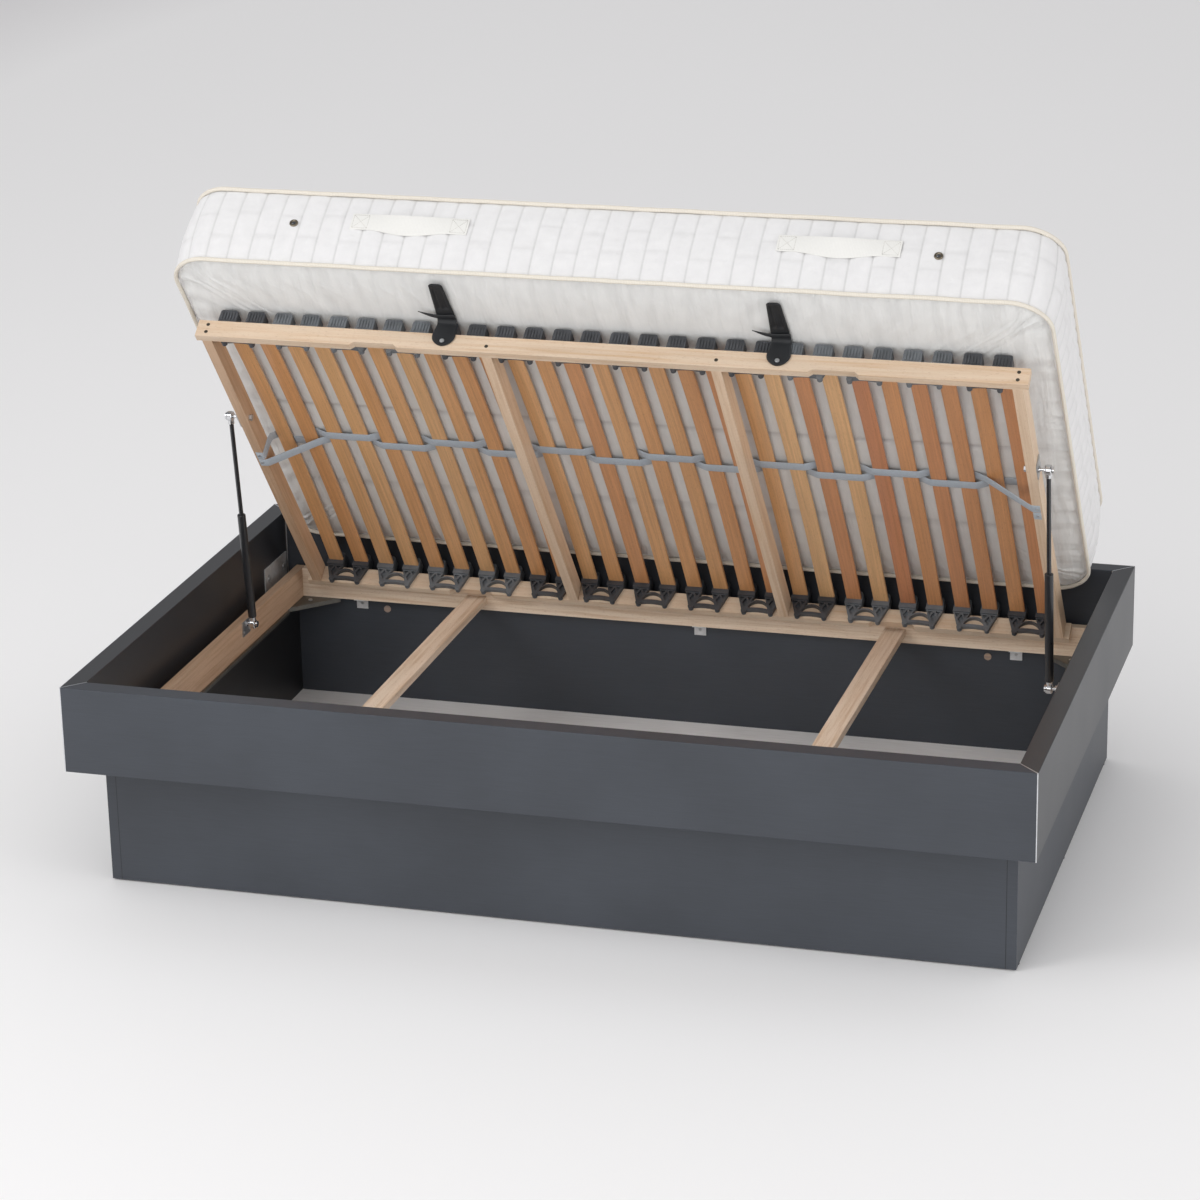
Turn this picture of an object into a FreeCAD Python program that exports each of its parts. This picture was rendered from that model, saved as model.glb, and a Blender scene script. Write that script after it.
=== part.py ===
import FreeCAD, Part
import math
import os

from FreeCAD import Vector

# Storage bed with a lift-up slatted lid, shown open as it rests.
# X runs across the headboard side to the foot side, Y runs from the front to
# the back, Z is up. The origin is on the floor at the centre of the plinth.
# All lengths are in millimetres and all angles in degrees.

# Surround of four mitred boards
surround_width = 2080.0
side_overhang = 52.0
front_overhang = 91.0
back_overhang = 3.7
board_thickness = 43.8
board_height = 190.8
board_ease = 1.5
mitre_strip_width = 2.0

# Plinth and storage floor
plinth_depth = 1183.0
plinth_height = 279.7
panel_thickness = 22.0
back_panel_recess = 35.0
glide_height = 3.5
glide_radius = 15.0
floor_thickness = 12.0
batten_height = 9.5
batten_width = 45.0
batten_shares = (-0.64, 0.0, 0.64)

# Inner support frame
frame_rail_height = 70.0
frame_rail_thickness = 22.0
frame_rise = 61.8
ledge_width = 28.0
ledge_height = 8.0
crossbar_width = 48.0
crossbar_thickness = 18.0
crossbar_slats = 8

# Steel fittings of the fixed part
gusset_leg = 132.0
gusset_thickness = 2.5
gusset_lip = 8.0
gusset_rivet_share = 0.375
wall_bracket_width = 28.0
wall_bracket_leg = 28.0
wall_bracket_thickness = 2.0
wall_bracket_shares = (-0.83, 0.037, 0.81)
wall_screw_share = 0.33
cover_cap_radius = 8.5
cover_cap_thickness = 2.0
cover_cap_shares = (-0.765, 0.742)
cover_cap_drop = 25.0
plate_length = 142.0
plate_height = 92.0
plate_thickness = 2.5
plate_corner_inset = 12.0
plate_slot_width = 7.0
plate_slot_length = 22.0
plate_slot_shares = (0.16, 0.84)
plate_screw_share = 0.68
front_plate_share = 0.6

# Lid frame
lid_side_gap = 31.0
lid_front_gap = 60.2
lid_rail_height = 42.0
lid_rail_thickness = 18.0
lid_member_thickness = 22.0
lid_end_inset = 12.0
lid_mid_slats = 4
lid_end_screw_shares = (0.28, 0.74)
lid_mid_screw_share = 0.4
notch_width = 90.0
notch_depth = 7.5
notch_slope_run = 9.0
open_angle = 51.7

# Hinges
hinge_gap = 1.8
hinge_width = 60.0
hinge_leaf_thickness = 0.8
hinge_leaf_height = 24.0
hinge_knuckle_radius = 3.5
hinge_pin_radius = 2.0
hinge_pin_head = 1.2
hinge_axis_rise = 0.5
hinge_running_gap = 0.05
hinge_knuckle_gap = 0.4
hinge_shares = (-0.82, -0.33, 0.33, 0.82)
hinge_middle_share = 0.36
hinge_screw_share = 0.55
hinge_screw_inset = 4.5

# Slats and their flexible caps
slat_least_pitch = 60.0
slat_field_inset = 27.15
slat_group = 4
slat_width = 35.0
slat_thickness = 8.0
slat_end_inset = 6.0
slat_end_rise = 10.0
cap_width = 40.5
cap_top_width = 38.5
cap_height = 33.0
cap_depth = 29.0
cap_setback = 3.5
cap_round = 5.5
cap_web_depth = 11.0
cap_foot_depth = 12.0
cap_foot_radius = 6.0
cap_foot_share = 0.8
cap_foot_rise = 2.5
cap_web = 3.4
cap_bar_height = 6.5
cap_bar_lift = 3.5
cap_arch_rise = 33.0
cap_rib_width = 2.6
cap_rib_proud = 2.2
cap_rib_shares = (-0.33, -0.165, 0, 0.165, 0.33)
cap_diamond_shares = ((0, 0.86), (0.34, 0.56), (0, 0.24), (-0.34, 0.56))
cap_corner_shares = ((0.76, 0.92), (0.18, 0.92), (0.46, 0.68))
grey_cap_shares = (0.07, 0.26, 0.71, 0.9)

# Woven belts
belt_width = 25.0
belt_thickness = 1.2
belt_gap = 0.4
belt_edge_margin = 2.0
belt_spacing = 2.0
belt_place_share = 0.5296
belt_tab_length = 18.0

# Mattress
mattress_side_reach = 52.0
mattress_front_reach = 83.0
mattress_thickness = 217.0
mattress_underside = 78.0
mattress_closed_place = 15.0
mattress_slide = 65.0
mattress_corner = 95.0
border_bottom = 16.0
border_top = 201.0
border_draw = 5.0
channel_pitch = 48.0
channel_sag = 1.6
corner_channels = 3
panel_step = 1.5
piping_radius = 3.5
crown_shares = ((0.0, 0.0), (0.35, 0.03), (0.75, 0.22), (1.0, 1.0))
crown_inset = 120.0
handle_width = 42.0
handle_length = 262.0
handle_thickness = 2.0
handle_arch = 16.0
handle_shares = (-0.4456, 0.5233)
handle_rise_share = 0.6
vent_radius = 9.5
vent_hole_radius = 4.0
vent_thickness = 1.6
vent_shares = (-0.715, 0.741)
vent_rise_share = 0.535

# Mattress straps
strap_shares = (-0.385, 0.42)
strap_tab_width = 52.0
strap_tab_lift = 10.0
strap_tongue_width = 43.0
strap_tip_width = 31.0
strap_tip_round = 6.0
strap_thickness = 4.4
strap_tip_inset = 33.0
strap_loop_wall = 6.0
strap_loop_length = 62.0
strap_loop_depth = 2.4
strap_keeper_width = 14.0
strap_keeper_wall = 2.2
strap_tail_length = 34.0
strap_bend_radius = 9.0

# Gas struts
strut_offset = 12.0
strut_foot_distance = 375.2
strut_foot_drop = 7.0
strut_head_place = 676.0
strut_head_rise = 12.0
cylinder_radius = 9.5
cylinder_wall = 1.8
cylinder_length = 261.0
cylinder_base = 18.0
rod_radius = 5.0
gland_length = 12.0
piston_length = 12.0
rod_inside_length = 24.0
socket_radius = 11.5
socket_width = 13.0
socket_round = 2.6
socket_waist_radius = 7.0
ball_stud_radius = 4.0
stud_collar_radius = 7.5
stud_collar_thickness = 3.0
stud_plate_length = 46.0
stud_plate_width = 34.0
stud_plate_thickness = 2.5
stud_screw_shares = (-0.36, 0.36)
foot_screw_share = 0.72
head_screw_share = 0.42
head_plate_share = 0.33
nut_sides = 6
nut_radius = 7.5
nut_thickness = 6.5
clip_thickness = 1.4

# Screws: head radius, head height, shank radius, shank length
wood_screw = (4.2, 3.0, 2.0, 30.0)
plate_screw = (5.0, 2.6, 2.2, 14.0)
small_screw = (3.4, 1.6, 1.6, 9.0)
hinge_screw = (1.5, 0.6, 0.9, 12.0)

# Clearances
rest_gap = 0.3
fit_gap = 0.05
cut_overrun = 5.0
parallel_share = 0.99

# Places worked out from the sizes above
plinth_width = surround_width - 2 * side_overhang
plinth_top = glide_height + plinth_height
panel_inner_x = plinth_width / 2 - panel_thickness
plinth_front_y = -plinth_depth / 2
panel_front_y = plinth_front_y + panel_thickness
panel_back_y = plinth_depth / 2 - back_panel_recess - panel_thickness
floor_top = glide_height + batten_height + floor_thickness
surround_front_y = plinth_front_y - front_overhang
surround_back_y = plinth_depth / 2 + back_overhang
board_inner_x = surround_width / 2 - board_thickness
board_front_y = surround_front_y + board_thickness
board_back_y = surround_back_y - board_thickness
frame_top = plinth_top + frame_rise
frame_bottom = frame_top - frame_rail_height
frame_inner_x = panel_inner_x - frame_rail_thickness
frame_front_y = panel_front_y + frame_rail_thickness
frame_back_y = panel_back_y - frame_rail_thickness
hinge_y = frame_back_y - hinge_gap / 2
hinge_z = frame_top + hinge_axis_rise
lid_rear_y = frame_back_y - hinge_gap
lid_underside_z = frame_top - hinge_axis_rise - lid_rail_height
lid_half_length = frame_inner_x - lid_side_gap
lid_depth = lid_rear_y - frame_front_y - lid_front_gap
lid_member_outer = lid_half_length - lid_end_inset
lid_member_inner = lid_member_outer - lid_member_thickness
lid_inner_u = lid_depth - lid_rail_thickness
crossbar_top = lid_underside_z + notch_depth - rest_gap
slat_field = 2 * (lid_member_inner - slat_field_inset)
slat_count = slat_group * math.floor((slat_field / slat_least_pitch + 1) / slat_group)
slat_pitch = slat_field / (slat_count - 1)
crossbar_centre = crossbar_slats * slat_pitch
lid_mid_centre = lid_mid_slats * slat_pitch
slat_low = lid_rail_height + slat_end_rise
belt_top = mattress_underside - rest_gap
slat_crown_top = belt_top - belt_thickness - belt_gap
belt_rear_place = belt_place_share * lid_depth - (belt_width + belt_spacing) / 2
belt_front_place = belt_rear_place + belt_width + belt_spacing
mattress_half_length = lid_half_length + mattress_side_reach
mattress_depth = lid_depth + mattress_front_reach
mattress_open_place = mattress_closed_place + mattress_slide
strap_centres = [share * lid_half_length for share in strap_shares]
strap_tip = mattress_open_place + mattress_depth - strap_tip_inset
strut_centre = lid_half_length + strut_offset
strut_foot_place = lid_rear_y - strut_foot_distance
strut_foot_z = frame_top - strut_foot_drop
lid_axis = Vector(0, hinge_y, hinge_z)
along_x = Vector(1, 0, 0)
along_y = Vector(0, 1, 0)
along_z = Vector(0, 0, 1)


def block(xs, ys, zs):
    """Box between two values on each axis, given in either order."""
    lows = [min(pair) for pair in (xs, ys, zs)]
    highs = [max(pair) for pair in (xs, ys, zs)]
    sides = [high - low for low, high in zip(lows, highs)]
    return Part.makeBox(*sides, Vector(*lows))


def lid_point(x, u, v):
    """Point of the closed lid: u runs forward from its rear face, v up from its underside."""
    return Vector(x, lid_rear_y - u, lid_underside_z + v)


def lid_block(xs, us, vs):
    """Box in the closed lid's own x, u and v."""
    low = lid_point(xs[0], us[0], vs[0])
    high = lid_point(xs[1], us[1], vs[1])
    return block((low.x, high.x), (low.y, high.y), (low.z, high.z))


def opened(shape):
    """Swing a shape from the closed lid to the open rest pose."""
    return shape.rotated(lid_axis, along_x, -open_angle)


def prism(points, sweep):
    """Solid swept from a closed polygon."""
    return Part.Face(Part.makePolygon(list(points) + [points[0]])).extrude(sweep)


def sweep_edges(edges, sweep):
    """Solid swept from a closed chain of lines and arcs."""
    return Part.Face(Part.Wire([curve.toShape() for curve in edges])).extrude(sweep)


def merged(shapes):
    """One clean solid from shapes that meet."""
    return shapes[0].fuse(shapes[1:]).removeSplitter()


def tube(base, axis, length, radius, bore):
    """Round tube with a through bore."""
    overrun = axis * cut_overrun
    hole = Part.makeCylinder(bore, length + 2 * cut_overrun, base - overrun, axis)
    return Part.makeCylinder(radius, length, base, axis).cut(hole)


def sunk_screw(seat, inward, size):
    """Countersunk screw whose flat head ends flush with the seat."""
    head_radius, head_height, shank_radius, shank_length = size
    head = Part.makeCone(head_radius, shank_radius, head_height, seat, inward)
    return head.fuse(Part.makeCylinder(shank_radius, shank_length, seat, inward))


def pan_screw(seat, inward, size):
    """Screw whose rounded head stands on the seat."""
    head_radius, head_height, shank_radius, shank_length = size
    head = Part.makeCylinder(head_radius, head_height, seat - inward * head_height, inward)
    rim = [edge for edge in head.Edges if abs((edge.CenterOfMass - seat).Length - head_height) < fit_gap]
    head = head.makeFillet(head_height / 2, rim[:1])
    return head.fuse(Part.makeCylinder(shank_radius, shank_length, seat, inward))


def bored(shape, screws):
    """The shape with the room that the screws take cut out of it."""
    return shape.cut(screws)


def eased(shape, axis):
    """Round the long edges of a board that runs along an axis."""
    edges = []
    for edge in shape.Edges:
        direction = edge.tangentAt(edge.FirstParameter)
        if abs(direction.dot(axis)) > parallel_share:
            edges.append(edge)
    return shape.makeFillet(board_ease, edges)


def surround_boards():
    """Front, back, left and right boards with mitred ends, cut back for the strips."""
    half = surround_width / 2 - mitre_strip_width
    inner = half - board_thickness
    rise = along_z * board_height
    boards = {}
    for name, outer_y, inner_y in (
        ("front_board", surround_front_y, board_front_y),
        ("back_board", surround_back_y, board_back_y),
    ):
        plan = ((-half, outer_y), (half, outer_y), (inner, inner_y), (-inner, inner_y))
        board = prism([Vector(x, y, plinth_top) for x, y in plan], rise)
        boards[name] = eased(board, along_x)
    front = surround_front_y + mitre_strip_width
    back = surround_back_y - mitre_strip_width
    for name, side in (("left_board", -1), ("right_board", 1)):
        outer_x = side * surround_width / 2
        inner_x = side * board_inner_x
        plan = (
            (outer_x, front),
            (outer_x, back),
            (inner_x, back - board_thickness),
            (inner_x, front + board_thickness),
        )
        board = prism([Vector(x, y, plinth_top) for x, y in plan], rise)
        boards[name] = eased(board, along_y)
    return boards


def corner_strips():
    """Thin metal strip that fills each mitre from the outer to the inner corner."""
    strips = []
    for side_x in (-1, 1):
        for side_y, corner_y in ((-1, surround_front_y), (1, surround_back_y)):
            corner_x = side_x * surround_width / 2
            step_x = side_x * mitre_strip_width
            step_y = side_y * mitre_strip_width
            deep_x = corner_x - side_x * board_thickness
            deep_y = corner_y - side_y * board_thickness
            plan = (
                (corner_x - step_x, corner_y),
                (corner_x, corner_y),
                (corner_x, corner_y - step_y),
                (deep_x, deep_y - step_y),
                (deep_x, deep_y),
                (deep_x - step_x, deep_y),
            )
            points = [Vector(x, y, plinth_top) for x, y in plan]
            strips.append(prism(points, along_z * board_height))
    return strips


def plinth_panels():
    """Two full-depth side panels with the front and back panels between them."""
    low_high = (glide_height, plinth_top)
    panels = {}
    for name, side in (("plinth_left", -1), ("plinth_right", 1)):
        xs = (side * panel_inner_x, side * plinth_width / 2)
        panels[name] = block(xs, (plinth_front_y, plinth_depth / 2), low_high)
    across = (-panel_inner_x, panel_inner_x)
    panels["plinth_front"] = block(across, (plinth_front_y, panel_front_y), low_high)
    panels["plinth_back"] = block(across, (panel_back_y, panel_back_y + panel_thickness), low_high)
    return panels


def batten_centres():
    """Places of the floor battens along X."""
    return [share * plinth_width / 2 for share in batten_shares]


def storage_floor():
    """Floor panel between the plinth panels."""
    across = (-panel_inner_x, panel_inner_x)
    return block(across, (panel_front_y, panel_back_y), (floor_top - floor_thickness, floor_top))


def floor_battens():
    """Battens under the storage floor, from front to back."""
    battens = []
    for x in batten_centres():
        xs = (x - batten_width / 2, x + batten_width / 2)
        battens.append(block(xs, (panel_front_y, panel_back_y), (glide_height, glide_height + batten_height)))
    return battens


def glides():
    """Round glides under the side panels and the battens, the middle one at the origin."""
    side_x = plinth_width / 2 - panel_thickness / 2
    inset = panel_thickness + glide_radius
    places = []
    for x in (-side_x, side_x):
        for y in (plinth_front_y + inset, 0, plinth_depth / 2 - inset):
            places.append((x, y, panel_thickness / 2))
    for x in batten_centres():
        for y in (panel_front_y + inset, 0, panel_back_y - inset):
            places.append((x, y, glide_radius))
    return [Part.makeCylinder(radius, glide_height, Vector(x, y, 0)) for x, y, radius in places]


def frame_rails():
    """Support rails inside the plinth's top: sides at full depth, front and back between."""
    low_high = (frame_bottom, frame_top)
    rails = {}
    for name, side in (("frame_rail_left", -1), ("frame_rail_right", 1)):
        xs = (side * frame_inner_x, side * panel_inner_x)
        rails[name] = block(xs, (panel_front_y, panel_back_y), low_high)
    across = (-frame_inner_x, frame_inner_x)
    rails["frame_rail_front"] = block(across, (panel_front_y, frame_front_y), low_high)
    rails["frame_rail_back"] = block(across, (frame_back_y, panel_back_y), low_high)
    return rails


def support_ledges():
    """Strips screwed to the plinth on which the side and front rails rest."""
    low_high = (frame_bottom - ledge_height, frame_bottom)
    ys = (panel_front_y + gusset_leg + rest_gap, panel_back_y - gusset_leg - rest_gap)
    reach = panel_inner_x - gusset_leg - rest_gap
    ledges = []
    for side in (-1, 1):
        xs = (side * (panel_inner_x - ledge_width), side * panel_inner_x)
        ledges.append(block(xs, ys, low_high))
    ledges.append(block((-reach, reach), (panel_front_y, panel_front_y + ledge_width), low_high))
    return ledges


def crossbars():
    """Flat planks on which the lid frame's notches come to rest."""
    bars = {}
    for name, side in (("crossbar_left", -1), ("crossbar_right", 1)):
        centre = side * crossbar_centre
        xs = (centre - crossbar_width / 2, centre + crossbar_width / 2)
        zs = (crossbar_top - crossbar_thickness, crossbar_top)
        bars[name] = block(xs, (frame_front_y, frame_back_y), zs)
    return bars


def frame_corners():
    """Corners of the support frame: x, y and the signs that point into the bed."""
    corners = []
    for side in (-1, 1):
        corners.append((side * panel_inner_x, panel_front_y, -side, 1))
        corners.append((side * panel_inner_x, panel_back_y, -side, -1))
    return corners


def corner_gussets():
    """Triangular steel plates under the frame's corners, with a folded lip on the long edge."""
    plates = []
    for x, y, step_x, step_y in frame_corners():
        top = frame_bottom
        corner = Vector(x, y, top - gusset_thickness)
        end_x = Vector(x + step_x * gusset_leg, y, top - gusset_thickness)
        end_y = Vector(x, y + step_y * gusset_leg, top - gusset_thickness)
        plate = prism([corner, end_x, end_y], along_z * gusset_thickness)
        inward = Vector(-step_x, -step_y, 0).normalize() * gusset_thickness
        along = (end_y - end_x).normalize() * (frame_rail_thickness + gusset_thickness)
        drop = Vector(0, 0, -gusset_lip)
        start = end_x + along
        stop = end_y - along
        lip = prism([start, stop, stop + inward, start + inward], drop)
        plates.append(merged([plate, lip]))
    return plates


def gusset_screws():
    """Screws up into the rails and one plain rivet in each plate's open part."""
    screws = []
    for x, y, step_x, step_y in frame_corners():
        low = frame_bottom - gusset_thickness
        half = frame_rail_thickness / 2
        far = gusset_leg - 2 * frame_rail_thickness
        for dx, dy in ((far, half), (half, far)):
            seat = Vector(x + step_x * dx, y + step_y * dy, low)
            screws.append(pan_screw(seat, along_z, plate_screw))
    return screws


def gusset_rivets():
    """One round rivet in the open part of each gusset."""
    head_radius, head_height, shank_radius, _ = plate_screw
    rivets = []
    for x, y, step_x, step_y in frame_corners():
        reach = gusset_leg * gusset_rivet_share
        seat = Vector(x + step_x * reach, y + step_y * reach, frame_bottom)
        head = Part.makeCylinder(head_radius, head_height, seat, along_z)
        body = Part.makeCylinder(shank_radius, gusset_thickness, seat, along_z * -1)
        rivets.append(head.fuse(body))
    return rivets


def wall_bracket_places():
    """Centres of the brackets along the back panel."""
    return [share * panel_inner_x for share in wall_bracket_shares]


def wall_brackets():
    """Bent steel angles between the back panel and the underside of the back rail."""
    brackets = []
    for x in wall_bracket_places():
        xs = (x - wall_bracket_width / 2, x + wall_bracket_width / 2)
        low = frame_bottom - wall_bracket_leg
        upright = block(xs, (panel_back_y - wall_bracket_thickness, panel_back_y), (low, frame_bottom))
        shelf_zs = (frame_bottom - wall_bracket_thickness, frame_bottom)
        shelf = block(xs, (frame_back_y, panel_back_y), shelf_zs)
        brackets.append(merged([upright, shelf]))
    return brackets


def wall_bracket_screws():
    """One screw into the panel and one up into the rail for each bracket."""
    screws = []
    for x in wall_bracket_places():
        face_y = panel_back_y - wall_bracket_thickness
        mid_z = frame_bottom - wall_bracket_leg / 2
        screws.append(pan_screw(Vector(x, face_y, mid_z), along_y, small_screw))
        under_y = frame_back_y + frame_rail_thickness * wall_screw_share
        under = Vector(x, under_y, frame_bottom - wall_bracket_thickness)
        screws.append(pan_screw(under, along_z, small_screw))
    return screws


def cover_caps():
    """Round caps over the fixings in the back panel."""
    caps = []
    for share in cover_cap_shares:
        seat = Vector(share * panel_inner_x, panel_back_y - cover_cap_thickness, frame_bottom - cover_cap_drop)
        caps.append(Part.makeCylinder(cover_cap_radius, cover_cap_thickness, seat, along_y))
    return caps


def slot_cutter(centre, inward):
    """Upright slot through a fitting plate."""
    side = inward.cross(along_z)
    half_run = (plate_slot_length - plate_slot_width) / 2
    start = centre - inward * cut_overrun
    depth = 2 * cut_overrun
    ends = []
    for sign in (-1, 1):
        place = start + along_z * (sign * half_run)
        ends.append(Part.makeCylinder(plate_slot_width / 2, depth, place, inward))
    half = side * (plate_slot_width / 2)
    low = start - along_z * half_run
    high = start + along_z * half_run
    ends.append(prism([low - half, low + half, high + half, high - half], inward * depth))
    return ends[0].fuse(ends[1:])


def side_plate_spans():
    """Where the fitting plates stand along the side boards."""
    front = board_front_y + plate_corner_inset
    back = board_back_y - plate_corner_inset
    return [(front, front + plate_length), (back - plate_length, back)]


def plate_seats():
    """Screw seats on every fitting plate: the point on the plate and the way into the board."""
    mid_z = plinth_top + plate_height * plate_screw_share
    seats = []
    for side in (-1, 1):
        face_x = side * (board_inner_x - plate_thickness)
        for low, high in side_plate_spans():
            for share in plate_slot_shares:
                y = low + share * (high - low)
                seats.append((Vector(face_x, y, mid_z), Vector(side, 0, 0)))
        for share in plate_slot_shares:
            x = side * front_plate_share * panel_inner_x - plate_length / 2 + share * plate_length
            seats.append((Vector(x, board_front_y + plate_thickness, mid_z), Vector(0, -1, 0)))
    return seats


def board_plates():
    """Angle plates that carry the surround on top of the plinth."""
    upright_zs = (plinth_top, plinth_top + plate_height)
    shelf_zs = (plinth_top, plinth_top + plate_thickness)
    slots = [slot_cutter(seat, inward) for seat, inward in plate_seats()]
    plates = []
    for side in (-1, 1):
        for ys in side_plate_spans():
            upright = block((side * (board_inner_x - plate_thickness), side * board_inner_x), ys, upright_zs)
            shelf = block((side * panel_inner_x, side * board_inner_x), ys, shelf_zs)
            plates.append(merged([upright, shelf]).cut(slots))
        middle = side * front_plate_share * panel_inner_x
        xs = (middle - plate_length / 2, middle + plate_length / 2)
        upright = block(xs, (board_front_y, board_front_y + plate_thickness), upright_zs)
        shelf = block(xs, (board_front_y, panel_front_y), shelf_zs)
        plates.append(merged([upright, shelf]).cut(slots))
    return plates


def board_plate_screws():
    """Screws through the slots of the fitting plates into the boards."""
    return [pan_screw(seat, inward, plate_screw) for seat, inward in plate_seats()]


def hinge_places():
    """Hinge centres along the back rail."""
    return [share * lid_half_length for share in hinge_shares]


def hinge_knuckle_spans(x):
    """The outer spans of the frame's knuckles and the middle span of the lid's knuckle."""
    half = hinge_width / 2
    middle = hinge_width * hinge_middle_share / 2
    outer = middle + hinge_knuckle_gap
    frame_spans = [(x - half, x - outer), (x + outer, x + half)]
    return frame_spans, (x - middle, x + middle)


def hinge_leaf(x, ys, knuckle_spans):
    """Flat leaf below the axis, with tongues that reach its own knuckles."""
    leaf_top = hinge_z - hinge_knuckle_radius - rest_gap
    plate = block((x - hinge_width / 2, x + hinge_width / 2), ys, (hinge_z - hinge_leaf_height, leaf_top))
    pieces = [plate]
    bore = hinge_pin_radius + hinge_running_gap
    for low, high in knuckle_spans:
        ring = tube(Vector(low, hinge_y, hinge_z), along_x, high - low, hinge_knuckle_radius, bore)
        tongue_top = hinge_z - bore - rest_gap
        tongue = block((low, high), ys, (leaf_top, tongue_top))
        pieces.extend([ring, tongue])
    return merged(pieces)


def hinge_screw_seats(side):
    """Countersunk seats on one leaf, with the way into its rail."""
    mid_z = hinge_z - hinge_leaf_height * hinge_screw_share
    reach = hinge_width / 2 - hinge_screw_inset
    if side == "frame":
        face_y = frame_back_y - hinge_leaf_thickness
        inward = along_y
    else:
        face_y = lid_rear_y + hinge_leaf_thickness
        inward = along_y * -1
    seats = []
    for x in hinge_places():
        for offset in (-reach, reach):
            seats.append((Vector(x + offset, face_y, mid_z), inward))
    return seats


def hinge_screws(side):
    """Countersunk screws of one set of hinge leaves."""
    return [sunk_screw(seat, inward, hinge_screw) for seat, inward in hinge_screw_seats(side)]


def frame_hinge_leaves():
    """Leaves on the back rail's front face."""
    ys = (frame_back_y - hinge_leaf_thickness, frame_back_y)
    screws = hinge_screws("frame")
    return [bored(hinge_leaf(x, ys, hinge_knuckle_spans(x)[0]), screws) for x in hinge_places()]


def lid_hinge_leaves():
    """Leaves on the lid's rear face, closed."""
    ys = (lid_rear_y, lid_rear_y + hinge_leaf_thickness)
    screws = hinge_screws("lid")
    return [bored(hinge_leaf(x, ys, [hinge_knuckle_spans(x)[1]]), screws) for x in hinge_places()]


def hinge_pins():
    """Headed pins through the knuckles."""
    pins = []
    for x in hinge_places():
        start = Vector(x - hinge_width / 2, hinge_y, hinge_z)
        body = Part.makeCylinder(hinge_pin_radius, hinge_width, start, along_x)
        heads = []
        for end_x in (x - hinge_width / 2 - hinge_pin_head, x + hinge_width / 2):
            seat = Vector(end_x, hinge_y, hinge_z)
            heads.append(Part.makeCylinder(hinge_knuckle_radius, hinge_pin_head, seat, along_x))
        pins.append(merged([body] + heads))
    return pins


def knuckle_recesses():
    """Room for the knuckles in the edges of both rails."""
    reach = hinge_knuckle_radius + rest_gap
    half = hinge_width / 2 + hinge_pin_head + rest_gap
    return [Part.makeCylinder(reach, 2 * half, Vector(x - half, hinge_y, hinge_z), along_x) for x in hinge_places()]


def notch_cutters():
    """Sloped notches in the lid rails' undersides over the crossbars."""
    cutters = []
    sweep = Vector(0, -(lid_depth + 2 * cut_overrun), 0)
    for side in (-1, 1):
        centre = side * crossbar_centre
        half_top = notch_width / 2
        half_low = half_top + notch_slope_run
        spread = half_low + notch_slope_run * cut_overrun / notch_depth
        corners = (
            (centre - spread, -cut_overrun),
            (centre + spread, -cut_overrun),
            (centre + half_top, notch_depth),
            (centre - half_top, notch_depth),
        )
        cutters.append(prism([lid_point(x, -cut_overrun, v) for x, v in corners], sweep))
    return cutters


def lid_screws():
    """Screws through the lid's rails into the ends of its members."""
    end_x = (lid_member_outer + lid_member_inner) / 2
    places = []
    for side in (-1, 1):
        places.extend([(side * end_x, share) for share in lid_end_screw_shares])
        places.append((side * lid_mid_centre, lid_mid_screw_share))
    screws = []
    for x, share in places:
        v = share * lid_rail_height
        screws.append(sunk_screw(lid_point(x, lid_depth, v), along_y, wood_screw))
        screws.append(sunk_screw(lid_point(x, 0, v), along_y * -1, wood_screw))
    return screws


def lid_frame(screws):
    """Rails and members of the lid, closed."""
    full = (-lid_half_length, lid_half_length)
    height = (0, lid_rail_height)
    notches = notch_cutters()
    rear = lid_block(full, (0, lid_rail_thickness), height)
    front = lid_block(full, (lid_inner_u, lid_depth), height)
    frame = {
        "lid_rail_rear": rear.cut(notches + knuckle_recesses() + hinge_screws("lid")),
        "lid_rail_front": front.cut(notches),
    }
    members = (
        ("lid_end_left", -(lid_member_outer + lid_member_inner) / 2),
        ("lid_mid_left", -lid_mid_centre),
        ("lid_mid_right", lid_mid_centre),
        ("lid_end_right", (lid_member_outer + lid_member_inner) / 2),
    )
    for name, x in members:
        xs = (x - lid_member_thickness / 2, x + lid_member_thickness / 2)
        frame[name] = lid_block(xs, (lid_rail_thickness, lid_inner_u), height)
    return {name: bored(piece, screws) for name, piece in frame.items()}


def slat_centres():
    """Slat places along X."""
    first = -(slat_count - 1) / 2 * slat_pitch
    return [first + index * slat_pitch for index in range(slat_count)]


def slat(x, spare):
    """Bowed slat at one place, larger by a spare amount all round."""
    start = slat_end_inset - spare
    stop = lid_depth - start
    middle = lid_depth / 2
    left = x - slat_width / 2 - spare
    low = slat_low - spare
    high = slat_low + slat_thickness + spare
    crown_low = slat_crown_top - slat_thickness - spare
    crown_high = slat_crown_top + spare
    corners = [lid_point(left, u, v) for u, v in ((start, low), (stop, low), (stop, high), (start, high))]
    edges = [
        Part.Arc(corners[0], lid_point(left, middle, crown_low), corners[1]),
        Part.LineSegment(corners[1], corners[2]),
        Part.Arc(corners[2], lid_point(left, middle, crown_high), corners[3]),
        Part.LineSegment(corners[3], corners[0]),
    ]
    return sweep_edges(edges, along_x * (slat_width + 2 * spare))


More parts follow.
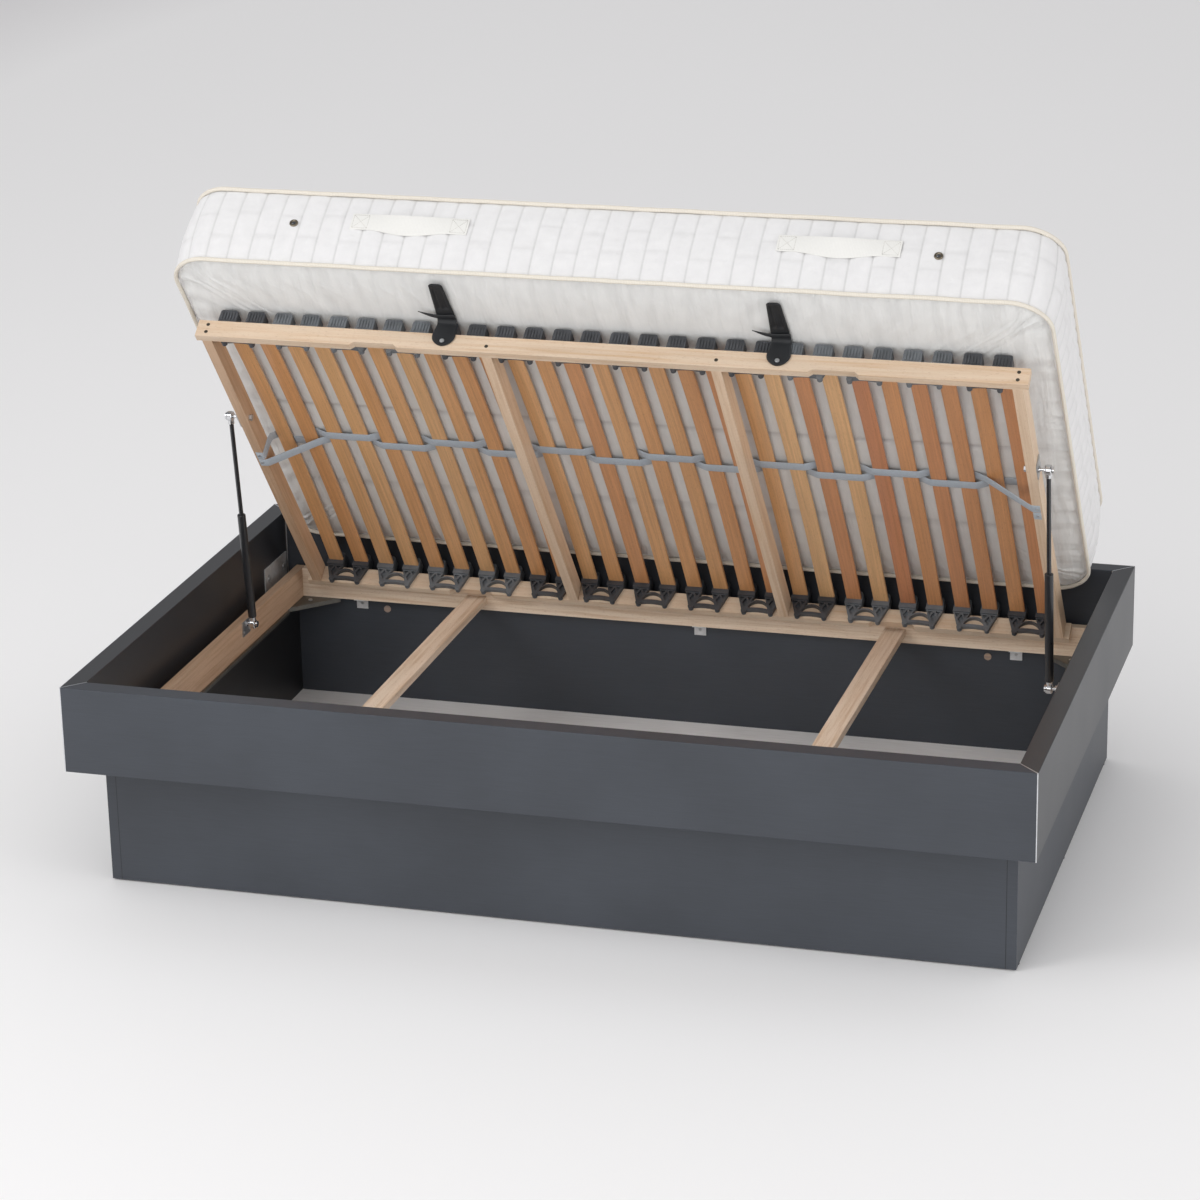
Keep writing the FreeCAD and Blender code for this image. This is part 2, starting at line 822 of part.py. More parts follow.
def cap_pocket(x):
    """Rounded pocket round a slat's end, with upright ribs on its outer end."""
    half_low = cap_width / 2
    half_top = cap_top_width / 2
    base = lid_rail_height
    top = base + cap_height
    plan = ((-half_low, base), (half_low, base), (half_top, top), (-half_top, top))
    body = prism([lid_point(x + dx, cap_setback, v) for dx, v in plan], along_y * -cap_depth)
    upper = []
    for edge in body.Edges:
        middle = edge.CenterOfMass
        runs_back = abs(edge.tangentAt(edge.FirstParameter).y) > parallel_share
        if runs_back and middle.z > lid_underside_z + base + cap_height / 2:
            upper.append(edge)
    body = body.makeFillet(cap_round, upper)
    ribs = []
    for share in cap_rib_shares:
        centre = x + share * cap_width
        xs = (centre - cap_rib_width / 2, centre + cap_rib_width / 2)
        us = (cap_setback - cap_rib_proud, cap_setback)
        ribs.append(lid_block(xs, us, (base + cap_round, top - cap_round)))
    return body.fuse(ribs)


def cap_legs(x):
    """Triangulated web with a diamond hole and a round foot, below one pocket."""
    half = cap_width / 2
    base = lid_rail_height
    foot_half = cap_foot_radius * cap_foot_share
    upper = ((-half, base + cap_web), (half, base + cap_web))
    lower = ((foot_half, cap_foot_rise), (-foot_half, cap_foot_rise))
    sweep = along_y * -cap_web_depth
    inner = lid_rail_thickness
    web = prism([lid_point(x + dx, inner, v) for dx, v in upper + lower], sweep)
    height = base - cap_foot_rise
    holes = [cap_diamond_shares]
    for side in (-1, 1):
        holes.append([(side * share, rise_share) for share, rise_share in cap_corner_shares])
    cutters = []
    for shares in holes:
        points = [lid_point(x + sx * half, inner + cut_overrun, cap_foot_rise + sv * height) for sx, sv in shares]
        cutters.append(prism(points, along_y * -(cap_web_depth + cut_overrun)))
    foot = Part.makeCylinder(cap_foot_radius, cap_foot_depth, lid_point(x, inner, cap_foot_rise), along_y * -1)
    return web.cut(cutters).fuse(foot)


def cap_bridge(left, right):
    """Slightly arched bar between two feet and the ridge above it, with an eye-shaped hole."""
    inner = lid_rail_thickness
    sweep = along_y * -cap_web_depth
    middle = (left + right) / 2
    low = cap_foot_rise + cap_bar_lift - cap_bar_height / 2
    high = low + cap_bar_height
    bow = cap_web
    bar = [
        Part.Arc(lid_point(left, inner, low), lid_point(middle, inner, low + bow), lid_point(right, inner, low)),
        Part.LineSegment(lid_point(right, inner, low), lid_point(right, inner, high)),
        Part.Arc(lid_point(right, inner, high), lid_point(middle, inner, high + bow), lid_point(left, inner, high)),
        Part.LineSegment(lid_point(left, inner, high), lid_point(left, inner, low)),
    ]
    start = left + cap_foot_radius / 2
    stop = right - cap_foot_radius / 2
    crest = cap_arch_rise
    ridge = [
        Part.Arc(lid_point(start, inner, high), lid_point(middle, inner, crest), lid_point(stop, inner, high)),
        Part.LineSegment(lid_point(stop, inner, high), lid_point(stop - cap_web, inner, high)),
        Part.Arc(
            lid_point(stop - cap_web, inner, high),
            lid_point(middle, inner, crest - cap_web),
            lid_point(start + cap_web, inner, high),
        ),
        Part.LineSegment(lid_point(start + cap_web, inner, high), lid_point(start, inner, high)),
    ]
    return [sweep_edges(bar, sweep), sweep_edges(ridge, sweep)]


def double_cap(left, right):
    """One moulded cap that holds two neighbouring slats at the rear rail."""
    pieces = [cap_pocket(left), cap_pocket(right), cap_legs(left), cap_legs(right)]
    pieces.extend(cap_bridge(left, right))
    body = merged(pieces)
    return body.cut([slat(left, rest_gap), slat(right, rest_gap)])


def slat_caps():
    """All double caps, rear and front, split by colour."""
    centres = slat_centres()
    pattern = double_cap(centres[0], centres[1])
    middle = lid_point(0, lid_depth / 2, 0)
    facing = pattern.mirror(middle, along_y)
    caps = {"slat_caps_black": [], "slat_caps_grey": []}
    pairs = slat_count // 2
    for pair in range(pairs):
        shift = along_x * (2 * pair * slat_pitch)
        place_share = (2 * pair + 1) / (2 * pairs)
        low_grey = grey_cap_shares[0] < place_share < grey_cap_shares[1]
        high_grey = grey_cap_shares[2] < place_share < grey_cap_shares[3]
        name = "slat_caps_grey" if low_grey or high_grey else "slat_caps_black"
        caps[name].extend([pattern.translated(shift), facing.translated(shift)])
    return caps


def ribbon(path, place, width, thickness):
    """Flat band along a path of x and v places, with mitred bends, swept along u."""
    half = thickness / 2
    near = []
    far = []
    for index, (x, v) in enumerate(path):
        before = path[max(index - 1, 0)]
        after = path[min(index + 1, len(path) - 1)]
        headings = []
        for start, end in ((before, (x, v)), ((x, v), after)):
            run = Vector(end[0] - start[0], 0, end[1] - start[1])
            if run.Length > 0:
                headings.append(run.normalize())
        normals = [Vector(-heading.z, 0, heading.x) for heading in headings]
        bisector = (normals[0] + normals[-1]).normalize()
        reach = half / bisector.dot(normals[0])
        near.append(lid_point(x - bisector.x * reach, place - width / 2, v - bisector.z * reach))
        far.append(lid_point(x + bisector.x * reach, place - width / 2, v + bisector.z * reach))
    return prism(near + far[::-1], along_y * -width)


def belt(place, phase):
    """Webbing woven under and over pairs of slats, led straight to the end members and screwed under them."""
    centres = slat_centres()
    half = belt_thickness / 2
    over = slat_crown_top + belt_gap + half
    under = slat_crown_top - slat_thickness - belt_gap - half
    reach = slat_width / 2 + belt_edge_margin
    inner_face = lid_member_inner - half
    path = []
    for pair in range(slat_count // 2):
        level = over if (pair + phase) % 2 else under
        path.append((centres[2 * pair] - reach, level))
        path.append((centres[2 * pair + 1] + reach, level))
    left = [(-inner_face - belt_tab_length, -half), (-inner_face, -half)]
    right = [(-x, v) for x, v in reversed(left)]
    if path[0][1] == over:
        left.append((-inner_face, lid_rail_height))
    else:
        path = path[1:]
    if path[-1][1] == over:
        right.insert(0, (inner_face, lid_rail_height))
    else:
        path = path[:-1]
    return ribbon(left + path + right, place, belt_width, belt_thickness)


def belt_screws():
    """One screw through each belt's end, up into the end member."""
    screws = []
    for side in (-1, 1):
        for place in (belt_front_place, belt_rear_place):
            x = side * (lid_member_inner + lid_member_thickness / 2)
            screws.append(pan_screw(lid_point(x, place, -belt_thickness), along_z, small_screw))
    return screws


def strap_top():
    """Height of the strap's upper face, just under the mattress."""
    return mattress_underside - rest_gap


def strap_tongue(centre, start, low, high):
    """Tongue that narrows to a tip with round corners and has a blind slot in its underside."""
    half_root = strap_tongue_width / 2
    half_tip = strap_tip_width / 2
    outline = ((-half_root, start), (half_root, start), (half_tip, strap_tip), (-half_tip, strap_tip))
    body = prism([lid_point(centre + dx, u, low) for dx, u in outline], along_z * (high - low))
    tip_y = lid_point(centre, strap_tip, low).y
    corners = []
    for edge in body.Edges:
        upright = abs(edge.tangentAt(edge.FirstParameter).z) > parallel_share
        if upright and abs(edge.CenterOfMass.y - tip_y) < rest_gap:
            corners.append(edge)
    body = body.makeFillet(strap_tip_round, corners)
    half_slot = half_tip - strap_loop_wall
    stop = strap_tip - strap_loop_wall
    slot_xs = (centre - half_slot, centre + half_slot)
    slot = lid_block(slot_xs, (stop - strap_loop_length, stop), (low - cut_overrun, low + strap_loop_depth))
    return body.cut(slot)


def mattress_strap(centre):
    """Moulded strap: a screwed tab on the front rail, a bend and a slotted tongue."""
    outer = lid_depth + strap_thickness
    half_tab = strap_tab_width / 2
    half_tongue = strap_tongue_width / 2
    tongue_high = strap_top()
    tongue_low = tongue_high - strap_thickness
    bend_low = tongue_low - strap_bend_radius
    tab_low = strap_tab_lift + half_tab
    disc = Part.makeCylinder(half_tab, strap_thickness, lid_point(centre, lid_depth, tab_low), along_y * -1)
    sides = ((-half_tab, tab_low), (half_tab, tab_low), (half_tongue, bend_low), (-half_tongue, bend_low))
    tab = prism([lid_point(centre + dx, lid_depth, v) for dx, v in sides], along_y * -strap_thickness)
    heart = lid_point(centre - half_tongue, outer + strap_bend_radius, bend_low)
    bend = tube(heart, along_x, strap_tongue_width, strap_bend_radius + strap_thickness, strap_bend_radius)
    corner = lid_block(
        (centre - half_tongue, centre + half_tongue),
        (lid_depth, outer + strap_bend_radius),
        (bend_low, tongue_high),
    )
    bend = bend.common(corner)
    tongue = strap_tongue(centre, outer + strap_bend_radius, tongue_low, tongue_high)
    return merged([disc, tab, bend, tongue])


def strap_keeper(centre):
    """Crosswise band round the strap's tongue with a pointed tail to the left."""
    wall = strap_keeper_wall
    half = strap_tongue_width / 2 + rest_gap
    middle = lid_depth + strap_thickness + strap_bend_radius + strap_keeper_width
    us = (middle - strap_keeper_width / 2, middle + strap_keeper_width / 2)
    top = strap_top() - strap_thickness - rest_gap
    low = top - wall
    band = lid_block((centre - half, centre + half), us, (low, top))
    sides = []
    for side in (-1, 1):
        xs = (centre + side * half, centre + side * (half + wall))
        sides.append(lid_block(xs, us, (low, strap_top())))
    points = (
        (centre - half - wall, us[0]),
        (centre - half - wall - strap_tail_length, middle),
        (centre - half - wall, us[1]),
    )
    tail = prism([lid_point(x, u, low) for x, u in points], along_z * wall)
    return merged([band] + sides + [tail])


def strap_screws():
    """One screw through each strap's tab into the front rail."""
    screws = []
    for centre in strap_centres:
        seat = lid_point(centre, lid_depth + strap_thickness, lid_rail_height / 2)
        screws.append(pan_screw(seat, along_y, plate_screw))
    return screws


def outline_stations(half_x, half_y, radius, centre):
    """Channel joints and middles round a rounded rectangle, as pairs of point and outward normal."""
    run_x = 2 * (half_x - radius)
    run_y = 2 * (half_y - radius)
    count_x = max(2, round(2 * (mattress_half_length - mattress_corner) / channel_pitch))
    count_y = max(2, round((mattress_depth - 2 * mattress_corner) / channel_pitch))
    sides = ((run_x, count_x, 0), (run_y, count_y, 90), (run_x, count_x, 180), (run_y, count_y, 270))
    reaches = (half_y, half_x, half_y, half_x)
    stations = []
    for (run, count, turn), reach in zip(sides, reaches):
        heading = Vector(math.cos(math.radians(turn)), math.sin(math.radians(turn)), 0)
        normal = Vector(heading.y, -heading.x, 0)
        for step in range(2 * count):
            offset = heading * (run * (step - count) / (2 * count))
            stations.append((centre + normal * reach + offset, normal))
        hub = centre + normal * (reach - radius) + heading * (run / 2)
        for step in range(2 * corner_channels):
            angle = math.radians(90 * step / (2 * corner_channels))
            ray = normal * math.cos(angle) + heading * math.sin(angle)
            stations.append((hub + ray * radius, ray))
    return stations


def mattress_centre(v):
    """Middle of the mattress in the closed lid's frame, at the place it takes when open."""
    return lid_point(0, mattress_open_place + mattress_depth / 2, mattress_underside + v)


def channel_section(v, inset, sag):
    """Scalloped outline of the quilted border at one height."""
    stations = outline_stations(
        mattress_half_length - inset, mattress_depth / 2 - inset, mattress_corner - inset, mattress_centre(v)
    )
    arcs = []
    for index in range(0, len(stations), 2):
        start = stations[index][0]
        middle, normal = stations[index + 1]
        end = stations[(index + 2) % len(stations)][0]
        arcs.append(Part.Arc(start, middle + normal * sag, end).toShape())
    return Part.Wire(arcs)


def plain_section(v, inset):
    """Plain rounded outline of a panel at one height."""
    half_x = mattress_half_length - inset
    half_y = mattress_depth / 2 - inset
    radius = max(mattress_corner - inset, mattress_corner / 2)
    centre = mattress_centre(v)
    edges = []
    diagonal = math.sqrt(0.5)
    for sign_x, sign_y in ((1, -1), (1, 1), (-1, 1), (-1, -1)):
        hub = centre + Vector(sign_x * (half_x - radius), sign_y * (half_y - radius), 0)
        beside = hub + Vector(sign_x * radius, 0, 0)
        ahead = hub + Vector(0, sign_y * radius, 0)
        middle = hub + Vector(sign_x * radius * diagonal, sign_y * radius * diagonal, 0)
        ends = (ahead, beside) if sign_x * sign_y < 0 else (beside, ahead)
        edges.append(Part.Arc(ends[0], middle, ends[1]))
    ring = []
    for index, arc in enumerate(edges):
        following = edges[(index + 1) % len(edges)]
        ring.append(arc.toShape())
        ring.append(Part.LineSegment(arc.EndPoint, following.StartPoint).toShape())
    return Part.Wire(ring)


def crowned_panel(seam, edge, step):
    """Top or bottom panel that rises from its seam to a flat middle."""
    sections = []
    for rise_share, inset_share in crown_shares:
        inset = step + inset_share * crown_inset
        sections.append(plain_section(seam + (edge - seam) * rise_share, inset))
    return Part.makeLoft(sections, True, True)


def mattress():
    """Quilted border between crowned top and bottom panels."""
    middle = (border_bottom + border_top) / 2
    sag = channel_sag
    border = Part.makeLoft(
        [
            channel_section(border_bottom, border_draw, sag),
            channel_section(middle, sag, sag),
            channel_section(border_top, border_draw, sag),
        ],
        True,
        True,
    )
    step = border_draw + panel_step
    top = crowned_panel(border_top, mattress_thickness, step)
    bottom = crowned_panel(border_bottom, 0, step)
    return border.fuse([top, bottom])


def mattress_piping():
    """Round piping along the top and bottom seams."""
    inset = border_draw + panel_step - piping_radius - rest_gap
    rings = []
    for v in (border_top + piping_radius + rest_gap, border_bottom - piping_radius - rest_gap):
        path = plain_section(v, inset)
        start = path.Edges[0].Vertexes[0].Point
        heading = path.Edges[0].tangentAt(path.Edges[0].FirstParameter)
        profile = Part.Wire([Part.makeCircle(piping_radius, start, heading)])
        rings.append(path.makePipeShell([profile], True, False))
    return rings


def mattress_front_y():
    """Front face of the border's fullest line."""
    return mattress_centre(0).y - mattress_depth / 2 - rest_gap


def mattress_handles():
    """Webbing handles sewn flat at both ends and arched between."""
    face = mattress_front_y()
    middle_v = border_bottom + (border_top - border_bottom) * handle_rise_share
    low = mattress_centre(middle_v - handle_width / 2).z
    half = handle_length / 2
    rise = half - handle_width
    handles = []
    for share in handle_shares:
        x = share * mattress_half_length
        inner = [Vector(x + dx, face, low) for dx in (-half, -rise, rise, half)]
        outer = [point - along_y * handle_thickness for point in inner]
        crest = Vector(x, face - handle_arch, low)
        edges = [
            Part.LineSegment(inner[0], inner[1]),
            Part.Arc(inner[1], crest, inner[2]),
            Part.LineSegment(inner[2], inner[3]),
            Part.LineSegment(inner[3], outer[3]),
            Part.LineSegment(outer[3], outer[2]),
            Part.Arc(outer[2], crest - along_y * handle_thickness, outer[1]),
            Part.LineSegment(outer[1], outer[0]),
            Part.LineSegment(outer[0], inner[0]),
        ]
        handles.append(sweep_edges(edges, along_z * handle_width))
    return handles


def mattress_vents():
    """Small metal eyelets in the border."""
    level = mattress_centre(border_bottom + (border_top - border_bottom) * vent_rise_share).z
    vents = []
    for share in vent_shares:
        base = Vector(share * mattress_half_length, mattress_front_y(), level)
        vents.append(tube(base, along_y * -1, vent_thickness, vent_radius, vent_hole_radius))
    return vents


def strut_ends(side):
    """Lower and upper pivot of one strut in the open pose."""
    foot = Vector(side * strut_centre, strut_foot_place, strut_foot_z)
    head = lid_point(side * strut_centre, strut_head_place, strut_head_rise)
    return foot, FreeCAD.Rotation(along_x, -open_angle).multVec(head - lid_axis) + lid_axis


def along_strut(shape, side):
    """Stand a shape, built up from the origin, on the lower pivot and turn it to the upper one."""
    foot, head = strut_ends(side)
    run = head - foot
    lean = math.degrees(math.atan2(-run.y, run.z))
    return shape.rotated(Vector(0, 0, 0), along_x, lean).translated(foot)


def socket(height, side_up):
    """End fitting: a round housing across the strut with a waisted neck."""
    start = Vector(-socket_width / 2, 0, height)
    bore = ball_stud_radius + fit_gap
    drum = Part.makeCylinder(socket_radius, socket_width, start, along_x)
    rims = [edge for edge in drum.Edges if len(edge.Vertexes) == 1]
    drum = drum.makeFillet(socket_round, rims)
    neck = Part.makeCylinder(socket_waist_radius, cylinder_base, Vector(0, 0, height), along_z * side_up)
    hole = Part.makeCylinder(bore, socket_width + 2 * cut_overrun, start - along_x * cut_overrun, along_x)
    return merged([drum, neck]).cut(hole)


def safety_clip(height):
    """Spring clip round the end fitting."""
    start = Vector(-socket_width / 2 - clip_thickness, 0, height)
    reach = socket_radius - clip_thickness
    return tube(start, along_x, clip_thickness, reach, ball_stud_radius + fit_gap)


def strut_length(side):
    """Distance between a strut's pivots in the open pose."""
    foot, head = strut_ends(side)
    return (head - foot).Length


def strut_cylinder():
    """Hollow cylinder with a gland at its mouth."""
    base = Vector(0, 0, cylinder_base)
    top = cylinder_base + cylinder_length
    shell = Part.makeCylinder(cylinder_radius, cylinder_length, base)
    rims = [edge for edge in shell.Edges if len(edge.Vertexes) == 1]
    shell = shell.makeFillet(cylinder_wall, rims)
    bore_length = cylinder_length - cylinder_wall - gland_length
    bore = Part.makeCylinder(cylinder_radius - cylinder_wall, bore_length, base + along_z * cylinder_wall)
    mouth = Vector(0, 0, top - gland_length - cut_overrun)
    way = Part.makeCylinder(rod_radius + fit_gap, gland_length + 2 * cut_overrun, mouth)
    return shell.cut([bore, way])


def strut_rod(length):
    """Rod with its piston, up to the upper fitting."""
    top = length - cylinder_base
    piston_low = cylinder_base + cylinder_length - gland_length - rod_inside_length
    rod = Part.makeCylinder(rod_radius, top - piston_low, Vector(0, 0, piston_low))
    piston_radius = cylinder_radius - cylinder_wall - rest_gap
    piston = Part.makeCylinder(piston_radius, piston_length, Vector(0, 0, piston_low))
    return merged([rod, piston])


def frame_strut_studs():
    """Studs that carry the lower ends, fixed through a plate to the side rails."""
    studs = []
    for side in (-1, 1):
        foot, _ = strut_ends(side)
        near = side * (strut_centre - socket_width / 2 - clip_thickness - stud_collar_thickness)
        far = side * (frame_inner_x - stud_plate_thickness)
        face = Vector(near, foot.y, foot.z)
        outward = Vector(side, 0, 0)
        pin = Part.makeCylinder(ball_stud_radius, abs(far - near), face, outward)
        head = Part.makeCylinder(stud_collar_radius, stud_collar_thickness - rest_gap, face, outward)
        seat = Vector(far - side * stud_collar_thickness, foot.y, foot.z)
        collar = Part.makeCylinder(stud_collar_radius, stud_collar_thickness, seat, outward)
        studs.append(merged([pin, head, collar]))
    return studs


def frame_strut_plates():
    """Steel plates on the inner faces of the side rails under the studs."""
    plates = []
    for side in (-1, 1):
        foot, _ = strut_ends(side)
        xs = (side * (frame_inner_x - stud_plate_thickness), side * frame_inner_x)
        ys = (foot.y - stud_plate_length / 2, foot.y + stud_plate_length / 2)
        zs = (frame_top - stud_plate_width, frame_top)
        plates.append(block(xs, ys, zs))
    return plates


def frame_plate_screws():
    """Two screws through each lower plate into the side rail."""
    screws = []
    for side in (-1, 1):
        foot, _ = strut_ends(side)
        face_x = side * (frame_inner_x - stud_plate_thickness)
        for share in stud_screw_shares:
            seat_z = frame_top - stud_plate_width * foot_screw_share
            seat = Vector(face_x, foot.y + share * stud_plate_length, seat_z)
            screws.append(pan_screw(seat, Vector(side, 0, 0), small_screw))
    return screws


def lid_strut_plates():
    """Steel plates on the outer faces of the end members, closed."""
    plates = []
    for side in (-1, 1):
        xs = (side * lid_member_outer, side * (lid_member_outer + stud_plate_thickness))
        us = (strut_head_place - stud_plate_length / 2, strut_head_place + stud_plate_length / 2)
        low = strut_head_rise - stud_plate_width * head_plate_share
        vs = (low, low + stud_plate_width)
        plates.append(lid_block(xs, us, vs))
    return plates


def lid_plate_screws():
    """Two screws through each upper plate into the end member."""
    screws = []
    for side in (-1, 1):
        for share in stud_screw_shares:
            u = strut_head_place + share * stud_plate_length
            v = strut_head_rise + stud_plate_width * head_screw_share
            seat = lid_point(side * (lid_member_outer + stud_plate_thickness), u, v)
            screws.append(pan_screw(seat, Vector(-side, 0, 0), small_screw))
    return screws


def lid_strut_nuts():
    """Hexagon nuts of the upper plates on the inner faces of the end members, closed."""
    nuts = []
    for side in (-1, 1):
        points = []
        for corner in range(nut_sides):
            angle = 2 * math.pi * corner / nut_sides
            u = strut_head_place + nut_radius * math.cos(angle)
            v = strut_head_rise + nut_radius * math.sin(angle)
            points.append(lid_point(side * lid_member_inner, u, v))
        nuts.append(prism(points, Vector(-side * nut_thickness, 0, 0)))
    return nuts


def rod_stud(side, length):
    """Stud through the upper fitting, up to the plate on the lid, built on the strut's own line."""
    reach = strut_centre - lid_member_outer - stud_plate_thickness - rest_gap
    inner = Vector(-side * reach, 0, length)
    outward = Vector(side, 0, 0)
    end = socket_width / 2 + clip_thickness + rest_gap
    pin = Part.makeCylinder(ball_stud_radius, reach + end, inner, outward)
    collar = Part.makeCylinder(stud_collar_radius, stud_collar_thickness, inner, outward)
    cap = Part.makeCylinder(stud_collar_radius, stud_collar_thickness, Vector(side * end, 0, length), outward)
    return merged([pin, collar, cap])


def strut_nodes():
    """All pieces of both struts in the open pose."""
    nodes = {}
    for name, side in (("left", -1), ("right", 1)):
        length = strut_length(side)
        lower = socket(0, 1).fuse(safety_clip(0))
        upper = socket(length, -1).fuse(safety_clip(length))
        nodes["strut_%s_cylinder" % name] = along_strut(strut_cylinder(), side)
        nodes["strut_%s_lower_fitting" % name] = along_strut(lower, side)
        nodes["strut_%s_rod" % name] = along_strut(strut_rod(length), side)
        upper = Part.makeCompound([upper, rod_stud(side, length)])
        nodes["strut_%s_upper_fitting" % name] = along_strut(upper, side)
    return nodes


def fixed_nodes():
    """Every node of the part that stands on the floor."""
    nodes = {"corner_strips": corner_strips(), "board_plates": board_plates()}
    board_screws = board_plate_screws()
    for name, board in surround_boards().items():
        nodes[name] = bored(board, board_screws)
    nodes["board_plate_screws"] = board_screws
    bracket_screws = wall_bracket_screws()
    for name, panel in plinth_panels().items():
        nodes[name] = bored(panel, bracket_screws)
    nodes["storage_floor"] = storage_floor()
    nodes["floor_battens"] = floor_battens()
    nodes["glides"] = glides()
    rail_screws = gusset_screws() + bracket_screws + frame_plate_screws() + hinge_screws("frame")
    for name, rail in frame_rails().items():
        if name == "frame_rail_back":
            rail = rail.cut(knuckle_recesses())
        nodes[name] = bored(rail, rail_screws)
    nodes["support_ledges"] = support_ledges()
    nodes.update(crossbars())
    gusset_fixings = gusset_screws() + gusset_rivets()
    nodes["corner_gussets"] = [bored(plate, gusset_fixings) for plate in corner_gussets()]
    nodes["gusset_screws"] = gusset_fixings
    nodes["wall_brackets"] = [bored(bracket, bracket_screws) for bracket in wall_brackets()]
    nodes["wall_bracket_screws"] = bracket_screws
    nodes["cover_caps"] = cover_caps()
    nodes["hinge_frame_leaves"] = frame_hinge_leaves() + hinge_screws("frame")
    nodes["hinge_pins"] = hinge_pins()
    foot_screws = frame_plate_screws()
    nodes["strut_foot_plates"] = [bored(plate, foot_screws) for plate in frame_strut_plates()] + foot_screws
    nodes["strut_foot_studs"] = frame_strut_studs()
    return nodes


def lid_nodes():
    """Every node that swings with the lid, closed."""
    rail_screws = lid_screws()
    tab_screws = strap_screws()
    web_screws = belt_screws()
    head_screws = lid_plate_screws()
    nodes = {"lid_screws": rail_screws, "strap_screws": tab_screws, "belt_screws": web_screws}
    for name, piece in lid_frame(rail_screws).items():
        nodes[name] = bored(piece, tab_screws + web_screws + head_screws)
    nodes["slats"] = [slat(x, 0) for x in slat_centres()]
    nodes.update(slat_caps())
    nodes["belt_front"] = bored(belt(belt_front_place, 1), web_screws)
    nodes["belt_rear"] = bored(belt(belt_rear_place, 0), web_screws)
    nodes["hinge_lid_leaves"] = lid_hinge_leaves() + hinge_screws("lid")
    head_plates = [bored(plate, head_screws) for plate in lid_strut_plates()]
    nodes["strut_head_plates"] = head_plates + head_screws + lid_strut_nuts()
    for name, centre in zip(("left", "right"), strap_centres):
        strap = bored(mattress_strap(centre), tab_screws)
        nodes["mattress_strap_%s" % name] = [strap, strap_keeper(centre)]
    return nodes


def mattress_nodes():
    """The loose mattress at the place it takes on the open lid, closed."""
    return {
        "mattress": mattress(),
        "mattress_piping": mattress_piping(),
        "mattress_handles": mattress_handles(),
        "mattress_vents": mattress_vents(),
    }


def as_list(shapes):
    """A list of shapes from one shape or a list."""
    return list(shapes) if isinstance(shapes, (list, tuple)) else [shapes]


def write_node(name, shapes):
    """Write one node's solids to its STEP file and report them."""
    solids = []
    for shape in shapes:
        solids.extend(shape.Solids)
    result = solids[0] if len(solids) == 1 else Part.makeCompound(solids)
    result.exportStep("parts/%s.step" % name)
    volume = sum(solid.Volume for solid in solids)
    print("%-28s solids %3d  volume %12.0f  valid %s" % (name, len(solids), volume, result.isValid()))


def report_joints():
    """Print the places that the joints use, in metres and degrees."""
    print("lid hinge", hinge_y / 1000, hinge_z / 1000)
    for side in (-1, 1):
        foot, head = strut_ends(side)
        closed = lid_point(side * strut_centre, strut_head_place, strut_head_rise)
        run = (head - foot) * (1 / (head - foot).Length)
        print("strut foot", foot, "head", head, "direction", run)
        print("strut open and closed length", (head - foot).Length, (closed - foot).Length)
        angles = [math.degrees(math.atan2(end.z - foot.z, end.y - foot.y)) for end in (head, closed)]
        print("strut angles", angles)
    forward = FreeCAD.Rotation(along_x, -open_angle).multVec(along_y * -1)
    print("lid forward direction", forward)


def main():
    """Build every node and write it."""
    os.makedirs("parts", exist_ok=True)
    for name, shapes in fixed_nodes().items():
        write_node(name, as_list(shapes))
    for name, shapes in lid_nodes().items():
        write_node(name, [opened(shape) for shape in as_list(shapes)])
    for name, shapes in mattress_nodes().items():
        write_node(name, [opened(shape) for shape in as_list(shapes)])
    for name, shapes in strut_nodes().items():
        write_node(name, as_list(shapes))
    report_joints()


main()
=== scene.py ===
"""Storage bed with a lift-up slatted lid, dressed over its CAD frame.

The bed stands open: an anthracite surround on a box plinth, a beech lid with
bowed slats in rubber caps, two woven belts, two gas struts and a quilted
mattress held by two moulded straps.  All lengths here are in metres.
"""
import logging
import math
from abc import ABC, abstractmethod
from dataclasses import dataclass, field
from enum import Enum
from typing import Any, Optional, Sequence, Union

import bmesh
import bpy
import numpy as np
from mathutils import Matrix, Vector


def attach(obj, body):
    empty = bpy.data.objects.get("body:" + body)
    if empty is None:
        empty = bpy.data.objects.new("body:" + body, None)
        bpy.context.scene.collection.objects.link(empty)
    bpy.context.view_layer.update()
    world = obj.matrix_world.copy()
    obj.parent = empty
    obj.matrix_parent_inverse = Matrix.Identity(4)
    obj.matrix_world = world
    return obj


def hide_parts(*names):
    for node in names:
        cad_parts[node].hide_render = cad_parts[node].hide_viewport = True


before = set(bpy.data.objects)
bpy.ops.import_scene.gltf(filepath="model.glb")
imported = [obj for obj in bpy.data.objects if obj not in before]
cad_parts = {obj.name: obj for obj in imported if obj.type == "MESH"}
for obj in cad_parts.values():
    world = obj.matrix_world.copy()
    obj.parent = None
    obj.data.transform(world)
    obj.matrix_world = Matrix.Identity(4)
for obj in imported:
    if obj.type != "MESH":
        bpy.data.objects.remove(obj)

logging.basicConfig(level=logging.INFO, format="%(name)s: %(message)s")
log = logging.getLogger("storage_bed")

Tree = bpy.types.NodeTree
Node = bpy.types.Node
Socket = bpy.types.NodeSocket
Piece = bpy.types.Object
Array = np.ndarray

MM = 0.001
# How far the lid stands open, in degrees.
SWING = 51.7
# Points nearer than this are one point.
TOUCHING = 0.02 * MM
# Length of the mattress's outline in metres, over which waves, folds and ribs run.
WAY_ROUND = 5.83


# Colour and node helpers


